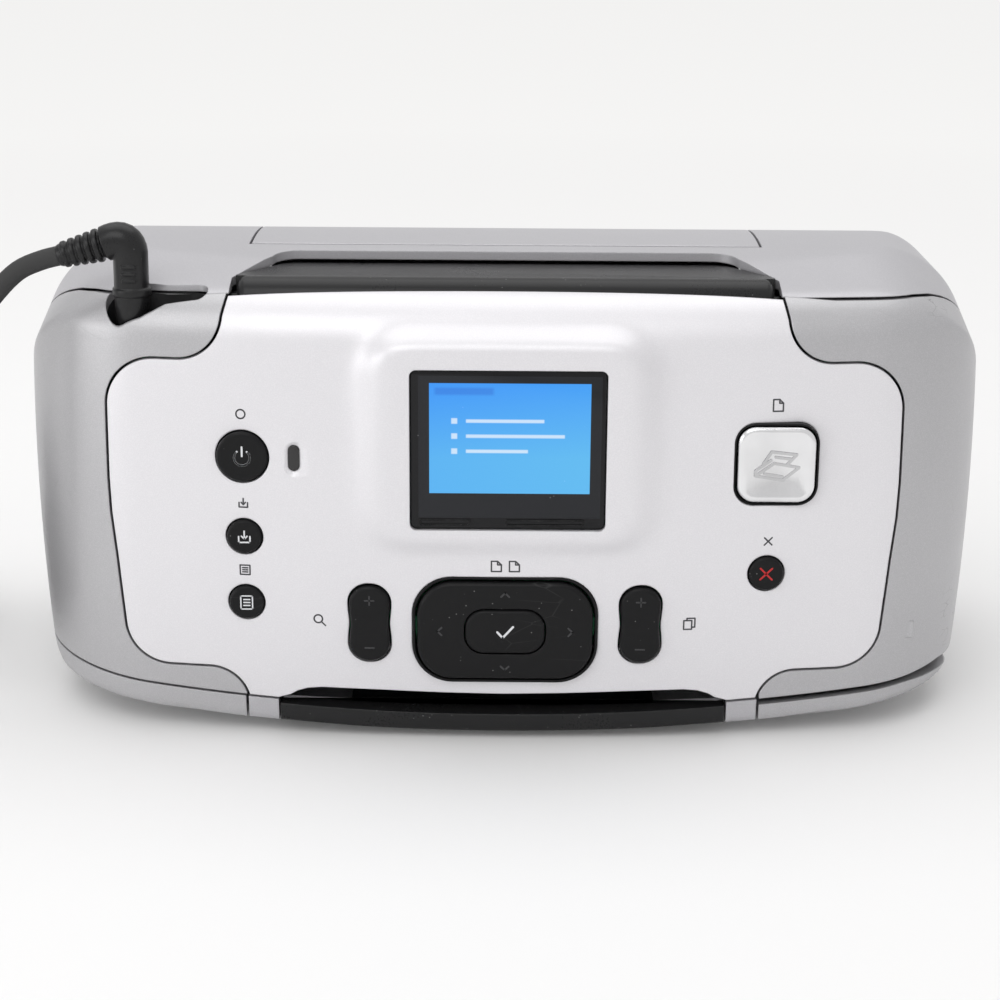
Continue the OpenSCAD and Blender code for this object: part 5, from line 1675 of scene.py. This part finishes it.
@dataclass
class Studio:
    """Camera, lamps and the pale floor."""

    target: Point3 = (-0.9, -20.0, 46.9)
    distance: float = 528.0
    height: float = 17.0
    lens: float = 80.4
    roll: float = 0.4

    def camera(self) -> None:
        """Camera at the photograph's place."""
        data = bpy.data.cameras.new("photo_camera")
        data.lens = self.lens
        data.sensor_width = 36
        data.clip_start = 0.01
        data.clip_end = 50
        cam = bpy.data.objects.new("photo_camera", data)
        bpy.context.collection.objects.link(cam)
        a = math.radians(self.height)
        away = Vector((0, -math.cos(a), math.sin(a))) * self.distance
        cam.location = (Vector(self.target) + away) * MM
        turn = (-away).to_track_quat("-Z", "Y").to_matrix() @ Matrix.Rotation(math.radians(self.roll), 3, "Z")
        cam.rotation_euler = turn.to_euler()
        bpy.context.scene.camera = cam
        bpy.context.scene.view_settings.view_transform = "Standard"

    def lamp(self, name: str, at: Point3, size: Point2, power: float) -> None:
        """Soft lamp aimed at the object."""
        data = bpy.data.lights.new(name, "AREA")
        data.shape = "RECTANGLE"
        data.size, data.size_y = size
        data.energy = power
        obj = bpy.data.objects.new(name, data)
        bpy.context.collection.objects.link(obj)
        obj.location = at
        obj.rotation_euler = (Vector((0, 0, 0.05)) - Vector(at)).to_track_quat("-Z", "Y").to_euler()

    def world(self) -> None:
        """Even pale surroundings."""
        world = bpy.data.worlds.new("studio")
        bpy.context.scene.world = world
        world.use_nodes = True
        tree = world.node_tree
        back = tree.nodes["Background"]
        back.inputs["Color"].default_value = (0.985, 0.98, 0.985, 1)
        path = tree.nodes.new("ShaderNodeLightPath")
        mix = tree.nodes.new("ShaderNodeMath")
        mix.operation = "MULTIPLY_ADD"
        mix.inputs[1].default_value = 0.17
        mix.inputs[2].default_value = 0.75
        tree.links.new(path.outputs["Is Camera Ray"], mix.inputs[0])
        tree.links.new(mix.outputs[0], back.inputs["Strength"])

    def floor(self) -> None:
        """Pale floor that keeps the shadow."""
        obj = box("studio_floor", (-6000, 6000), (-6000, 6000), (-4, 0))
        n = Nodes("pale_floor")
        tone = n.noise(900, 2)
        n.link(n.mix(tone, [0.83, 0.828, 0.825, 1], [0.85, 0.848, 0.842, 1]), n.bsdf.inputs["Base Color"])
        n.bsdf.inputs["Roughness"].default_value = 0.9
        n.bsdf.inputs["Specular IOR Level"].default_value = 0.1
        glow = n.add("ShaderNodeEmission", None, {"Color": [1, 0.995, 0.985, 1], "Strength": 0.93})
        path = n.add("ShaderNodeLightPath")
        fac = Val(n, path.outputs["Is Camera Ray"]) * (0.86 - n.near((0, -20, 0), 1000.0) * 0.8)
        mix = n.add("ShaderNodeMixShader", None, {0: fac, 1: n.bsdf.outputs[0], 2: glow.outputs[0]})
        n.link(mix.outputs[0], n.out.inputs["Surface"])
        obj.data.materials.append(n.mat)

    def build(self) -> None:
        """Lamps, world and floor."""
        self.lamp("key", (-0.35, -1.1, 1.25), (1.1, 0.9), 6.5)
        self.lamp("fill", (-1.0, -0.6, 0.3), (0.7, 0.5), 2.2)
        self.lamp("top", (0.0, 0.35, 1.3), (1.6, 1.0), 6.2)
        self.world()
        self.floor()


def main() -> None:
    """Builds the dressed printer over its frame."""
    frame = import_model()
    studio = Studio()
    studio.camera()
    Lead().build()
    full, hull = Body().build()
    shells = Shells(full, hull)
    shells.left_shell()
    shells.door()
    shells.top()
    shells.rear()
    shells.base()
    shells.tray()
    Front(hull).build()
    fittings = Fittings(full)
    fittings.handle()
    fittings.photo_tray()
    for obj in (full, hull):
        bpy.data.objects.remove(obj)
    Inside(frame["nodes"], frame["record"]).build()
    studio.build()


if __name__ == "__main__":
    main()
